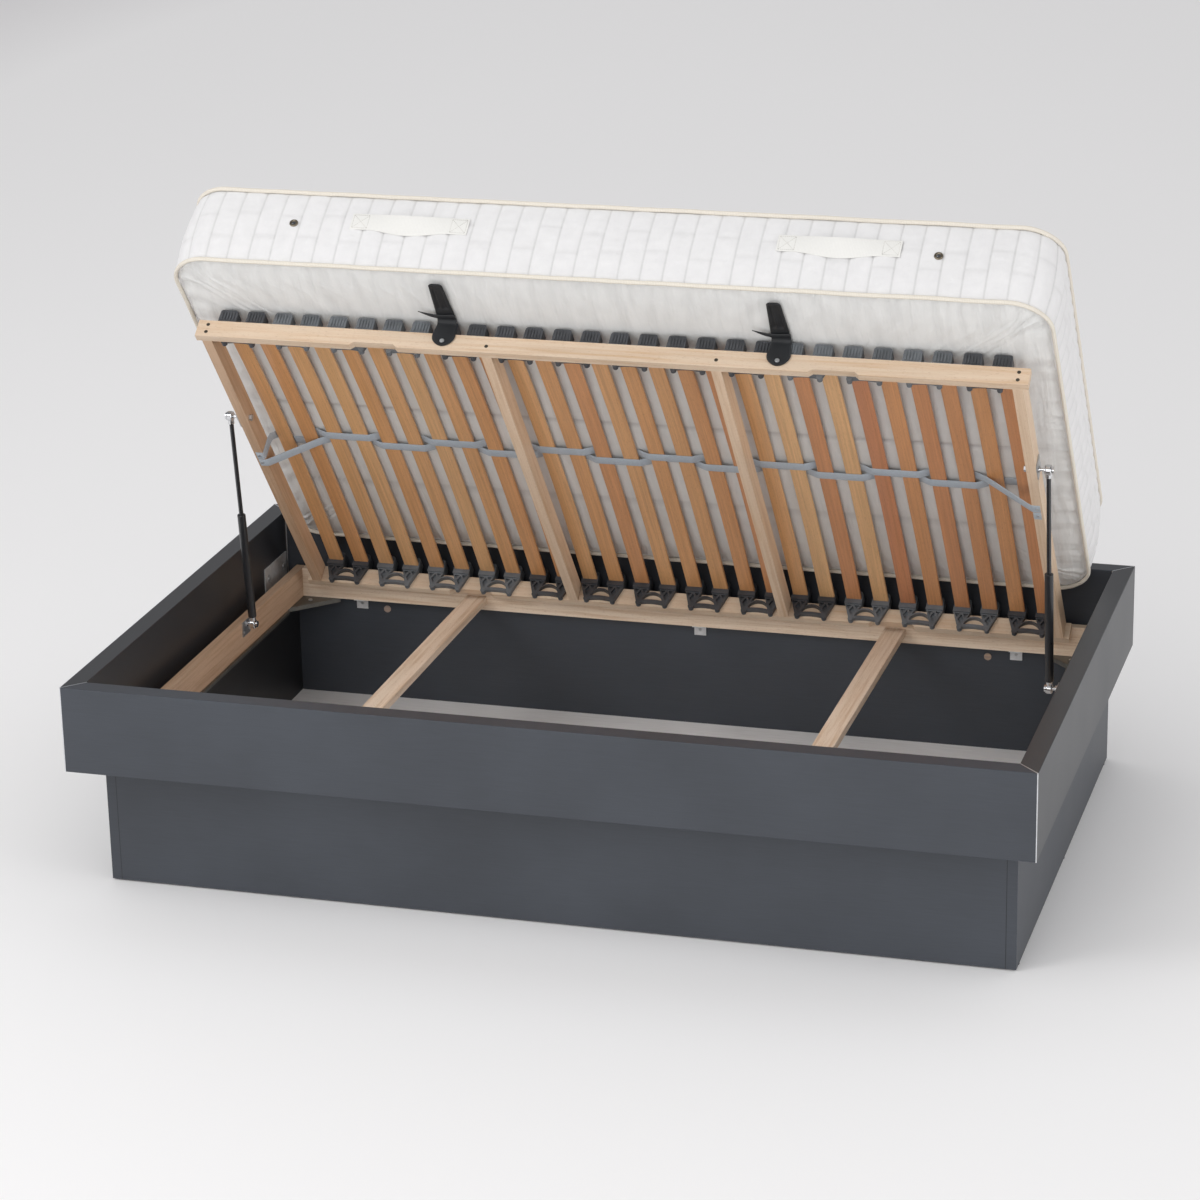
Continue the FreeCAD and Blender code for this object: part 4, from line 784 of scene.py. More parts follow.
def rounded_rectangle(width: float, height: float, radius: float, steps: int = 4) -> Array:
    """Closed outline of a rectangle with round corners.

    Each corner is a quarter circle about a hub that stands one radius inside both sides.

    Args:
        width: Full width.
        height: Full height.
        radius: Corner radius.
        steps: Points in each corner, less one.

    Returns:
        Points of the outline, two values each.
    """
    angles = np.linspace(0, math.pi / 2, steps + 1)
    corners = []
    for turn, sign_x, sign_y in ((0, 1, 1), (1, -1, 1), (2, -1, -1), (3, 1, -1)):
        hub = np.array([sign_x * (width / 2 - radius), sign_y * (height / 2 - radius)])
        swept = angles + turn * math.pi / 2
        corners.append(hub + radius * np.stack([np.cos(swept), np.sin(swept)], -1))
    return np.concatenate(corners)


def distance(line: Array) -> Array:
    """Distance along an open line at each of its points."""
    return np.concatenate([[0.0], np.cumsum(np.linalg.norm(np.diff(line, axis=0), axis=1))])


def normalised(vectors: Array) -> Array:
    """Rows of vectors, each divided by its length."""
    return vectors / np.linalg.norm(vectors, axis=1, keepdims=True)


def around(outline: Array) -> Array:
    """Distance along a closed outline at each point and at the return to the start."""
    steps = np.linalg.norm(np.roll(outline, -1, axis=0) - outline, axis=1)
    return np.concatenate([[0.0], np.cumsum(steps)])


def carried(path: Array, side: Array, up: Array, outline: Array) -> Array:
    """Carry an outline along a path.

    A point is the path's point, plus the outline's first value along the side direction,
    plus its second value along the up direction.

    Args:
        path: Points of the path.
        side: Side direction at each point.
        up: Up direction at each point.
        outline: Points of the outline, two values each.

    Returns:
        Rows of points, one row for each point of the path.
    """
    return path[:, None, :] + outline[None, :, :1] * side[:, None, :] + outline[None, :, 1:] * up[:, None, :]


def ripple(along: Array, waves: int, shortest: float, longest: float, seed: int) -> Array:
    """Smooth uneven wave of about plus and minus one: a sum of sines of seeded lengths and phases.

    Args:
        along: Distance in metres.
        waves: Number of sines.
        shortest: Shortest wavelength.
        longest: Longest wavelength.
        seed: Seed of the lengths and phases.

    Returns:
        The wave at each distance.
    """
    chance = np.random.default_rng(seed)
    lengths = chance.uniform(shortest, longest, waves)
    phases = chance.uniform(0, math.tau, waves)
    turns = along[..., None] * math.tau / lengths + phases
    return np.sin(turns).sum(-1) / math.sqrt(waves)


@dataclass
class LidSpace:
    """Places on the lid: x across, u forward from its rear face, v up from its underside.

    Attributes:
        axis_y: Hinge axis, towards the back.
        axis_z: Hinge axis, above the floor.
        swing: How far the lid stands open, in degrees.
        axis_u: Hinge axis in u.
        axis_v: Hinge axis in v.
    """

    axis_y: float = 0.5116
    axis_z: float = 0.3455
    swing: float = SWING
    axis_u: float = -0.0009
    axis_v: float = 0.043

    def place(self, x: Array, u: Array, v: Array) -> Array:
        """Points in the bed's frame.

        The offsets from the hinge axis are turned about X by the swing.

        Args:
            x: Places across.
            u: Places forward.
            v: Places up.

        Returns:
            Points with three coordinates.
        """
        x, u, v = np.broadcast_arrays(x, u, v)
        angle = math.radians(self.swing)
        back = self.axis_u - u
        rise = v - self.axis_v
        y = self.axis_y + back * math.cos(angle) + rise * math.sin(angle)
        z = self.axis_z - back * math.sin(angle) + rise * math.cos(angle)
        return np.stack([x, y, z], -1)


LID = LidSpace()


# Sub-assemblies


@dataclass
class Carcass:
    """Surround, plinth, storage floor and the frame inside, all CAD nodes with board and wood finishes.

    Attributes:
        boards_along: Front and back board of the surround.
        boards_across: Side boards of the surround.
        panels: Plinth panels.
        rails_along: Frame rails that run across the bed.
        rails_deep: Pale members that run from front to back.
        rail_painted_shade: The rail in the browner beech, painted shade.
        board_edge: Rounding of the boards' edges.
        rail_edge: Rounding of the rails' edges.
    """

    boards_along: Sequence[str] = ("front_board", "back_board")
    boards_across: Sequence[str] = ("left_board", "right_board")
    panels: Sequence[str] = ("plinth_front", "plinth_back", "plinth_left", "plinth_right")
    rails_along: Sequence[str] = ("frame_rail_front", "frame_rail_back")
    rails_deep: Sequence[str] = ("frame_rail_right", "crossbar_left", "crossbar_right")
    rail_painted_shade: str = "frame_rail_left"
    board_edge: float = 0.9 * MM
    rail_edge: float = 1.4 * MM

    def dress(self, wardrobe: Wardrobe) -> None:
        """Put the finishes on.

        Args:
            wardrobe: Source of the materials.
        """
        wardrobe.dress(FRONT_DECOR, *self.boards_along)
        # The side boards take the darker copy of the decor: painted shade.
        wardrobe.dress(SIDE_DECOR_PAINTED_SHADE, *self.boards_across)
        wardrobe.dress(PLINTH_DECOR, *self.panels)
        wardrobe.dress(FLOOR_DECOR, "storage_floor")
        wardrobe.dress(BATTEN_PINE, "floor_battens")
        wardrobe.dress(GLIDE, "glides")
        wardrobe.dress(TRIM, "corner_strips")
        wardrobe.dress(BEECH_ACROSS, *self.rails_along)
        wardrobe.dress(BEECH_DEEP, *self.rails_deep)
        # The left rail wears the browner beech: painted shade.
        wardrobe.dress(BEECH_PAINTED_SHADE, self.rail_painted_shade)
        wardrobe.dress(BEECH_BUTTON, "cover_caps")
        wardrobe.soften(self.board_edge, *self.boards_along, *self.boards_across)
        wardrobe.soften(self.rail_edge, *self.rails_deep, self.rail_painted_shade, *self.rails_along)


@dataclass
class Fittings:
    """Plates, screws, hinges and brackets."""

    zinc: Sequence[str] = (
        "board_plate_screws", "gusset_screws", "wall_bracket_screws", "hinge_frame_leaves", "hinge_pins",
        "hinge_lid_leaves", "strut_foot_plates", "strut_head_plates", "belt_screws", "strap_screws",
    )

    def dress(self, wardrobe: Wardrobe) -> None:
        """Put the finishes on.

        Args:
            wardrobe: Source of the materials.
        """
        wardrobe.dress(PRESSED_STEEL, "board_plates", "wall_brackets")
        # Ledges and gussets sit in the deep corners and take the darker zinc: painted shade.
        wardrobe.dress(ZINC_PAINTED_SHADE, "support_ledges", "corner_gussets")
        wardrobe.dress(ZINC, *self.zinc)
        wardrobe.dress(BURNISHED, "lid_screws")


@dataclass
class Struts:
    """Two gas struts."""

    sides: Sequence[str] = ("left", "right")

    def dress(self, wardrobe: Wardrobe) -> None:
        """Put the finishes on.

        Args:
            wardrobe: Source of the materials.
        """
        wardrobe.dress(CHROME, "strut_foot_studs")
        for side in self.sides:
            wardrobe.dress(BLACK_PAINT, f"strut_{side}_cylinder")
            wardrobe.dress(NITRIDED, f"strut_{side}_rod")
            wardrobe.dress(CHROME, f"strut_{side}_lower_fitting", f"strut_{side}_upper_fitting")


@dataclass
class LidFrame:
    """Beech frame of the lid and the rubber caps on its rails.

    Attributes:
        rails: Rear and front rail.
        members: Pale members that join the rails.
        member_painted_shade: The member in the browner beech, painted shade.
        edge: Rounding of the wood's edges.
    """

    rails: Sequence[str] = ("lid_rail_rear", "lid_rail_front")
    members: Sequence[str] = ("lid_end_right", "lid_mid_left", "lid_mid_right")
    member_painted_shade: str = "lid_end_left"
    edge: float = 1.5 * MM

    def dress(self, wardrobe: Wardrobe) -> None:
        """Put the finishes on.

        Args:
            wardrobe: Source of the materials.
        """
        wardrobe.dress(BEECH_RAIL, *self.rails)
        wardrobe.dress(BEECH_LID, *self.members)
        # The left end member wears the browner beech: painted shade.
        wardrobe.dress(BEECH_PAINTED_SHADE_LID, self.member_painted_shade)
        wardrobe.dress(RUBBER_BLACK, "slat_caps_black")
        wardrobe.dress(RUBBER_GREY, "slat_caps_grey")
        wardrobe.soften(self.edge, *self.rails, *self.members, self.member_painted_shade)


@dataclass
class Slats:
    """Bowed laminated slats with softly rounded edges.

    Attributes:
        count: Number of slats.
        pitch: Distance between centres.
        width: Width of a slat.
        thickness: Thickness of a slat.
        start: Place of the rear ends in u.
        stop: Place of the front ends in u.
        end_v: Underside of the ends in v.
        crown_v: Underside of the middle in v.
        edge: Radius of the long edges.
        tones: Tone of each slat, from pale to red.
        stations: Points along a slat.
        uv_apart: How far each slat's own pattern is moved from the last one's.
    """

    count: int = 28
    pitch: float = 63.1 * MM
    width: float = 34.8 * MM
    thickness: float = 7.9 * MM
    start: float = 6.2 * MM
    stop: float = 991.8 * MM
    end_v: float = 52.05 * MM
    crown_v: float = 68.15 * MM
    edge: float = 2.2 * MM
    tones: Sequence[float] = (
        0.40, 0.52, 0.36, 0.30, 0.46, 0.38, 0.28, 0.42, 0.50, 0.58, 0.34, 0.46, 0.62, 0.40,
        0.48, 0.42, 0.55, 0.66, 0.38, 0.20, 0.72, 0.24, 0.86, 0.62, 0.74, 0.66, 0.58, 0.70,
    )
    stations: int = 41
    uv_apart: tuple[float, float] = (0.37, 0.11)

    def centres(self) -> Array:
        """Places of the slats across."""
        return (np.arange(self.count) - (self.count - 1) / 2) * self.pitch

    def underside(self, u: Array) -> Array:
        """Height of the slats' underside.

        It is an arc through both ends and the crown: with a rise s over a half length h, the radius is
        h squared plus s squared over twice s, and the height is the crown less the arc's fall.

        Args:
            u: Places along a slat.

        Returns:
            Heights in v.
        """
        half = (self.stop - self.start) / 2
        rise = self.crown_v - self.end_v
        radius = (half ** 2 + rise ** 2) / (2 * rise)
        middle = (self.start + self.stop) / 2
        return self.crown_v - radius + np.sqrt(radius ** 2 - (u - middle) ** 2)

    def build(self, wardrobe: Wardrobe) -> Piece:
        """Make all slats as one piece.

        Args:
            wardrobe: Source of the materials.

        Returns:
            The slats.
        """
        outline = rounded_rectangle(self.width, self.thickness, self.edge, 3)
        stations = np.linspace(self.start, self.stop, self.stations)
        low = self.underside(stations)
        x = self.centres()[:, None, None] + outline[None, None, :, 0]
        u = np.broadcast_to(stations[None, :, None], (self.count, len(stations), len(outline)))
        v = low[None, :, None] + self.thickness / 2 + outline[None, None, :, 1]
        points = LID.place(x, u, v)
        run = around(outline)
        uv = np.stack(np.broadcast_arrays(stations[None, :, None], run[None, None, :]), -1)
        offsets = np.arange(self.count)[:, None, None, None] * np.array(self.uv_apart)
        uv = np.broadcast_to(uv, (self.count,) + uv.shape[1:]) + offsets
        tone = np.broadcast_to(np.array(self.tones)[:, None, None], points.shape[:3])
        grid = Grid(points, loop_columns=True, capped=True, uv=uv, marks={"tone": tone})
        piece = grid.build("lid_slats")
        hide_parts("slats")
        wardrobe.fit(piece, SLAT_WOOD, "lid")
        return piece


@dataclass
class Belt:
    """Webbing woven under and over pairs of slats, with its ends under the lid's end members.

    Attributes:
        name: Name of the piece.
        node: CAD node that it replaces.
        place: Middle of the belt in u.
        first_over: Whether the first pair of slats lies under the belt.
        width: Width of the belt.
        thickness: Thickness of the belt.
        over: Level over the slats in v.
        under: Level under the slats in v.
        drift: How far the belt slides along the slats where it lies over them.
        margin: How far the belt stays level past a slat's edge.
        member_x: Inner face of the end members.
        member_top: Top of the end members in v.
        tab: Length of the end under the member.
        step: Distance between points of the middle line.
        slide: Clearance to the end member and run over which the belt slides back there.
        corner: Radius of the webbing's edges.
    """

    name: str
    node: str
    place: float
    first_over: bool
    width: float = 25 * MM
    thickness: float = 1.2 * MM
    over: float = 77.0 * MM
    under: float = 67.1 * MM
    drift: float = 0.0
    margin: float = 2 * MM
    member_x: float = 879 * MM
    member_top: float = 42 * MM
    tab: float = 18 * MM
    step: float = 2 * MM
    slide: tuple[float, float] = (3 * MM, 9 * MM)
    corner: float = 0.5 * MM

    def path(self, slats: Slats) -> Array:
        """The belt's middle line, x and v, with eased bends.

        Points every 2 mm along the straight runs are averaged over 14 mm, which rounds each bend.

        Args:
            slats: The slats that the belt goes round.

        Returns:
            Points of x and v.
        """
        centres = slats.centres()
        reach = slats.width / 2 + self.margin
        face = self.member_x - self.thickness / 2
        low = -self.thickness / 2
        left = [(-face - self.tab, low), (-face, low)]
        right = [(-x, v) for x, v in left[::-1]]
        pairs = []
        for pair in range(slats.count // 2):
            level = self.over if (pair % 2 == 0) == self.first_over else self.under
            pairs.extend([(centres[2 * pair] - reach, level), (centres[2 * pair + 1] + reach, level)])
        if self.first_over:
            left.append((-face, self.member_top))
            pairs.pop()
        else:
            right.insert(0, (face, self.member_top))
            pairs.pop(0)
        corners = np.array(left + pairs + right)
        run = distance(corners)
        steps = np.linspace(0, run[-1], int(run[-1] / self.step))
        line = np.stack([np.interp(steps, run, corners[:, 0]), np.interp(steps, run, corners[:, 1])], -1)
        reach_steps = 3
        window = np.hanning(2 * reach_steps + 3)[1:-1]
        padded = np.pad(line, ((reach_steps, reach_steps), (0, 0)), mode="reflect", reflect_type="odd")
        eased = [np.convolve(padded[:, axis], window / window.sum(), mode="valid") for axis in (0, 1)]
        return np.stack(eased, -1)

    def covered(self, x: Array, slats: Slats) -> Array:
        """How far the belt has slid: it slides where it lies over a pair, behind the outer half of its slats.

        Beyond the first and last pair it slides back between the slat and the end member.

        Args:
            x: Places across.
            slats: The slats that the belt goes round.

        Returns:
            Shares from 0 to 1.
        """
        middles = slats.centres().reshape(-1, 2).mean(1)
        pair = np.abs(x[:, None] - middles[None, :]).argmin(1)
        over = (pair % 2 == 0) == self.first_over
        offset = x - middles[pair]
        inside = (slats.pitch / 2 + slats.width / 2 - np.abs(offset)) / slats.width
        outside = (self.member_x - self.slide[0] - np.abs(x)) / self.slide[1]
        at_end = (np.abs(x) > middles[-1]) & over
        return np.clip(np.where(at_end, outside, inside), 0, 1) * over

    def build(self, wardrobe: Wardrobe, slats: Slats) -> Piece:
        """Make the belt.

        Args:
            wardrobe: Source of the materials.
            slats: The slats that it goes round.

        Returns:
            The belt.
        """
        line = self.path(slats)
        heading = normalised(np.gradient(line, axis=0))
        zeros = np.zeros(len(line))
        drifted = self.place + self.drift * self.covered(line[:, 0], slats)
        path = np.stack([line[:, 0], drifted, line[:, 1]], -1)
        side = np.stack([zeros, zeros + 1, zeros], -1)
        up = np.stack([-heading[:, 1], zeros, heading[:, 0]], -1)
        outline = rounded_rectangle(self.width, self.thickness, self.corner, 2)
        points = carried(path, side, up, outline)
        points = LID.place(points[..., 0], points[..., 1], points[..., 2])[None]
        uv = np.stack(np.broadcast_arrays(distance(line)[:, None], around(outline)[None, :]), -1)[None]
        piece = Grid(points, loop_columns=True, capped=True, uv=uv).build(self.name, sharp=50)
        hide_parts(self.node)
        wardrobe.fit(piece, BELT_TAPE, "lid")
        return piece


@dataclass
class Mattress:
    """Pocket mattress with a quilted border, taped seams, two handles and two eyelets.

    Its own places are x across, u forward from the lid's rear face, and h up from its underside.

    Attributes:
        half_x: Half of its length.
        rear: Rear end in u.
        front: Front end in u.
        underside: Its underside in the lid's v.
        thickness: Full thickness.
        corner: Radius of its corners.
        seam_low: Lower seam in h.
        seam_high: Upper seam in h.
        draw: How far the seams stand inside the fullest line.
        pitch: Width of a quilting channel.
        puff: How far a channel swells over its stitching.
        tape: Radius of the taped edges.
        cap: Most that the stuffing's swell may move a point.
        per_channel: Points across a quilting channel.
        tightest: Least radius of a corner inside the outline, as a share of the full one.
        cross_seams: Places in u of the underside's cross seams.
        tuft_pitch: Distance between the top's stitched lines.
        crown_run: Distance from the seam over which a panel rises.
    """

    half_x: float = 965 * MM
    rear: float = 80 * MM
    front: float = 1161 * MM
    underside: float = 78 * MM
    thickness: float = 217 * MM
    corner: float = 95 * MM
    seam_low: float = 16 * MM
    seam_high: float = 201 * MM
    draw: float = 9 * MM
    pitch: float = 48 * MM
    puff: float = 4.2 * MM
    tape: float = 4.7 * MM
    cap: float = 6 * MM
    per_channel: int = 14
    tightest: float = 0.35
    cross_seams: Sequence[float] = (340 * MM, 645 * MM, 950 * MM)
    tuft_pitch: float = 190 * MM
    crown_run: float = 110 * MM

    @property
    def tuck(self) -> float:
        """How far the panels' edges stand inside the full outline, just behind the border's seams."""
        return self.draw + 2.5 * MM

    @property
    def middle_u(self) -> float:
        """Middle of the mattress in u."""
        return (self.rear + self.front) / 2

    @property
    def half_u(self) -> float:
        """Half of its depth."""
        return (self.front - self.rear) / 2

    def outline(self, stations: Array, inset: Array) -> tuple[Array, Array]:
        """Rounded rectangle read by a station, drawn in by an inset.

        Stations run once round the four straight runs and the four corners, one unit for each; a corner's
        points stand one radius from its hub.  An inset past the radius moves the hubs inwards as well.

        Args:
            stations: Values from 0 to 8, side runs at even units and corners at odd ones.
            inset: Distance inside the full outline, as an array that broadcasts with the stations.

        Returns:
            Places in x and u.
        """
        stations, inset = np.broadcast_arrays(stations, inset)
        unit = np.floor(stations).astype(int) % 8
        share = stations - np.floor(stations)
        quarter = unit // 2
        turn = quarter * (math.pi / 2) - math.pi / 2
        on_corner = unit % 2 == 1
        radius = np.maximum(self.corner - inset, self.corner * self.tightest)
        reach_x = np.maximum(self.half_x - inset - radius, 0.0)
        reach_u = np.maximum(self.half_u - inset - radius, 0.0)
        shrink = np.clip((self.half_u - inset) / radius, 0.0, 1.0)
        radius = radius * shrink
        angle = turn + np.where(on_corner, share * math.pi / 2, 0.0)
        sign = np.where(on_corner, 1.0, 2 * share - 1)
        base_x = np.choose(quarter, [sign * reach_x, reach_x, -sign * reach_x, -reach_x])
        base_u = np.choose(quarter, [-reach_u, sign * reach_u, reach_u, -sign * reach_u])
        return base_x + radius * np.cos(angle), self.middle_u + base_u + radius * np.sin(angle)

    @staticmethod
    def spread(counts: Sequence[int]) -> Array:
        """Even stations over straight runs and corners, so many points to each in turn."""
        return np.concatenate([part + np.arange(count) / count for part, count in enumerate(counts)])

    def place(self, x: Array, u: Array, h: Array) -> Array:
        """Points in the bed's frame for places on the mattress."""
        return LID.place(x, u, self.underside + h)

    def channels(self) -> tuple[Array, Array]:
        """Stations and channel shares round the border.

        Each straight run has a whole number of channels near the pitch and each corner has three.

        Returns:
            Station of every column and its place within its channel, from 0 to 1.
        """
        runs = (2 * (self.half_x - self.corner), 2 * (self.half_u - self.corner))
        counts = [round(runs[0] / self.pitch), 3, round(runs[1] / self.pitch), 3] * 2
        stations = self.spread([count * self.per_channel for count in counts])
        return stations, (np.arange(len(stations)) % self.per_channel) / self.per_channel

    def border(self, wardrobe: Wardrobe) -> Piece:
        """Quilted border between the seams.

        A point stands inside the full outline by the seam's draw, less the swell of its channel: the puff
        times the root of four s times one less s, s being its share of the channel, and all of it but close
        to the tape.  Faint cross stitches draw it in at two heights in turn, and ripples pucker it.

        Args:
            wardrobe: Source of the materials.

        Returns:
            The border.
        """
        stations, shares = self.channels()
        levels = np.concatenate([
            [0.0, 0.006, 0.018, 0.04, 0.075, 0.12],
            np.linspace(0.17, 0.83, 23),
            [0.88, 0.925, 0.96, 0.982, 0.994, 1.0],
        ])
        height = self.seam_high - self.seam_low
        station, level = np.meshgrid(stations, levels)
        share = np.broadcast_to(shares[None, :], level.shape)
        to_seam = np.minimum(level, 1 - level)
        swell_across = (4 * share * (1 - share)) ** 0.7
        swell_up = np.clip(to_seam / 0.035, 0, 1) ** 0.5
        channel = np.floor(np.arange(len(stations)) / self.per_channel).astype(int)
        lift = np.random.default_rng(7).uniform(-0.05, 0.05, channel.max() + 1)[channel]
        cross = np.where(channel % 2 == 0, 0.36, 0.64) + lift
        dip = np.exp(-((level - cross[None, :]) * height / (4.5 * MM)) ** 2)
        run = np.arange(len(stations)) * self.pitch / self.per_channel
        pucker = ripple(level * height + channel[None, :] * 0.31, 5, 14 * MM, 34 * MM, 3)
        gathers = ripple(np.broadcast_to(run[None, :], level.shape), 7, 7 * MM, 19 * MM, 5)
        gathers = gathers * np.exp(-to_seam / 0.07)
        bow = self.draw * (1 - 4 * level * (1 - level))
        out = self.puff * swell_across * swell_up
        out = out - 1.5 * MM * dip * swell_across + 0.35 * MM * pucker * swell_across + 0.15 * MM * gathers
        inset = 2.2 * MM + bow - out
        x, u = self.outline(station, inset)
        h = self.seam_low + level * height
        # Darker lines in each channel's valley and at the cross stitches: partly thread, partly painted shade
        # in the dips.
        crease = np.exp(-((np.minimum(share, 1 - share)) * self.pitch / (1.3 * MM)) ** 2)
        crease = np.clip(0.6 * crease + 0.3 * dip, 0, 1) * swell_up
        inner_x, inner_u = self.outline(stations, np.array(self.draw + 8 * MM))
        rows = []
        for row in (0, -1):
            edge = self.place(inner_x, inner_u, np.full(len(stations), h[row, 0]))
            rows.append(edge[None])
        points = np.concatenate([rows[0], self.place(x, u, h), rows[1]])[None]
        flat = np.zeros((1, len(stations)))
        crease = np.concatenate([flat, crease, flat])[None]
        grid = Grid(points, loop_rows=True, loop_columns=True, marks={"crease": crease})
        piece = grid.build("mattress_border", sharp=180)
        wardrobe.fit(piece, TICKING, "mattress")
        return piece

    def rings(self) -> Array:
        """Insets of the panels' rings, close at the seam and even towards the middle line.

        Returns:
            Insets from the outline to the middle line.
        """
        steps = np.array([0, 1.5, 4, 7.5, 12, 17.5, 24, 32, 41, 51, 63, 76, 90, 105, 120])
        near = self.tuck + steps * MM
        far = np.linspace(near[-1] + 14 * MM, self.half_u, 34)
        return np.concatenate([near, far])

    def crown(self, inset: Array) -> Array:
        """Share of a panel's rise at an inset: a softened quarter round over the crown's run."""
        run = np.clip((inset - self.tuck) / self.crown_run, 0, 1)
        return np.sqrt(1 - (1 - run) ** 2) ** 1.15

    def swell(self, x: Array, u: Array) -> Array:
        """Args:
            x: Places across.
            u: Places forward.

        Returns:
            How far the panel stands out, from 0 to the cap.
        """
        return self.read_back(*self.blown(self.trial_body()), x, u)
        side_x = np.clip(1 - (np.abs(x) / self.half_x) ** 6, 0, 1)
        side_u = np.clip(1 - (np.abs(u - self.middle_u) / self.half_u) ** 6, 0, 1)
        return self.cap * 0.7 * side_x * side_u

    def trial_body(self) -> Piece:
        """Plain closed body of the mattress, 4 mm smaller all round, remeshed to 18 mm.

        Returns:
            The body, lying flat with u along Y.
        """
        stations = np.linspace(0, 8, 176, endpoint=False)
        insets = np.array([4, 30, 90, 200, 330, 460, self.half_u / MM]) * MM
        heights = np.concatenate([np.zeros(len(insets)), np.full(len(insets), self.thickness)])
        insets = np.concatenate([insets[::-1], insets])
        station, inset = np.meshgrid(stations, insets)
        ring_x, ring_u = self.outline(station, inset)
        h = np.broadcast_to(heights[:, None], ring_x.shape)
        points = np.stack([ring_x, ring_u, h], -1)[None]
        body = Grid(points, loop_columns=True).build("stuffing_trial", merge=True)
        shape = body.modifiers.new("even", "REMESH")
        shape.mode = "VOXEL"
        shape.voxel_size = 18 * MM
        bpy.context.view_layer.objects.active = body
        bpy.ops.object.modifier_apply(modifier="even")
        return body

    def blown(self, body: Piece, pressure: float = 4, steps: int = 20) -> tuple[Array, Array]:
        """Press a body out as cloth, without gravity, and take it away again.

        Args:
            body: The body.
            pressure: Inner pressure.
            steps: Frames of the run.

        Returns:
            Its points before the run and their moves, each cut to the cap.
        """
        start = np.zeros(len(body.data.vertices) * 3, np.float32)
        body.data.vertices.foreach_get("co", start)
        cloth = body.modifiers.new("swell", "CLOTH")
        cloth.settings.use_pressure = True
        cloth.settings.uniform_pressure_force = pressure
        cloth.settings.effector_weights.gravity = 0
        cloth.settings.quality = 4
        cloth.point_cache.frame_start = 1
        cloth.point_cache.frame_end = steps
        scene = bpy.context.scene
        for step in range(1, steps + 1):
            scene.frame_set(step)
        evaluated = body.evaluated_get(bpy.context.evaluated_depsgraph_get())
        ended = np.zeros(len(start), np.float32)
        evaluated.data.vertices.foreach_get("co", ended)
        scene.frame_set(1)
        start = start.reshape(-1, 3)
        moved = ended.reshape(-1, 3) - start
        length = np.linalg.norm(moved, axis=1, keepdims=True)
        moved = moved * np.minimum(1, self.cap / np.maximum(length, 1e-9))
        log.info("the stuffing swelled by up to %.1f mm, capped at %.1f mm", length.max() / MM, self.cap / MM)
        bpy.data.objects.remove(body)
        return start, moved

    def read_back(self, start: Array, moved: Array, x: Array, u: Array) -> Array:
        """Read how far the top rose: moves averaged in square bins, evened twice and read between them.

        Args:
            start: Points of the body before its run.
            moved: Their moves.
            x: Places across.
            u: Places forward.

        Returns:
            How far the panel stands out at each place.
        """
        top = start[:, 2] > self.thickness * 0.8
        size = 60 * MM
        columns = int(2 * self.half_x / size) + 1
        lines = int(2 * self.half_u / size) + 1
        across = np.clip(((start[top, 0] + self.half_x) / size).astype(int), 0, columns - 1)
        along = np.clip(((start[top, 1] - self.rear) / size).astype(int), 0, lines - 1)
        total = np.zeros((lines, columns))
        amount = np.zeros((lines, columns))
        np.add.at(total, (along, across), moved[top, 2])
        np.add.at(amount, (along, across), 1)
        rise = np.clip(total / np.maximum(amount, 1), 0, self.cap)
        for _ in range(2):
            wide = np.pad(rise, 1, mode="edge")
            rise = (
                wide[1:-1, 1:-1] * 2 + wide[:-2, 1:-1] + wide[2:, 1:-1] + wide[1:-1, :-2] + wide[1:-1, 2:]
            ) / 6
        place_x = np.clip((x + self.half_x) / size - 0.5, 0, columns - 1.001)
        place_u = np.clip((u - self.rear) / size - 0.5, 0, lines - 1.001)
        low_x, low_u = place_x.astype(int), place_u.astype(int)
        part_x, part_u = place_x - low_x, place_u - low_u
        near = rise[low_u, low_x] * (1 - part_x) + rise[low_u, low_x + 1] * part_x
        far = rise[low_u + 1, low_x] * (1 - part_x) + rise[low_u + 1, low_x + 1] * part_x
        return near * (1 - part_u) + far * part_u

    def underside_level(self, inset: Array, swell: Array, folds: Array, seams: Array) -> Array:
        """Height of the lower panel: down from its seam, hollowed by folds and drawn in at its cross seams.

        Args:
            inset: Distance inside the full outline.
            swell: Rise of the stuffing.
            folds: Folds near the seam, about plus and minus one.
            seams: Nearness to a cross seam, from 0 to 1.

        Returns:
            Heights in h, never under the rest height.
        """
        rest = 0.35 * MM
        seam = self.seam_low - 1.0 * MM
        low = seam * (1 - self.crown(inset)) + rest + 4.4 * MM - swell * 0.5
        low = low + 2.5 * MM * folds + 3.0 * MM * seams
        return np.where(inset - self.tuck < 0.5 * MM, seam, np.maximum(low, rest))

    def top_level(self, inset: Array, swell: Array, folds: Array, tufts: Array) -> Array:
        """Height of the upper panel: up from its seam, with folds near it and its stitched lines drawn in.

        Args:
            inset: Distance inside the full outline.
            swell: Rise of the stuffing.
            folds: Folds near the seam, about plus and minus one.
            tufts: Nearness to a stitched line, from 0 to 1.

        Returns:
            Heights in h.
        """
        seam = self.seam_high + 1.0 * MM
        high = seam + (self.thickness - seam) * self.crown(inset) + swell
        high = high + 1.3 * MM * folds - 3.0 * MM * tufts
        return np.where(inset - self.tuck < 0.5 * MM, seam, high)

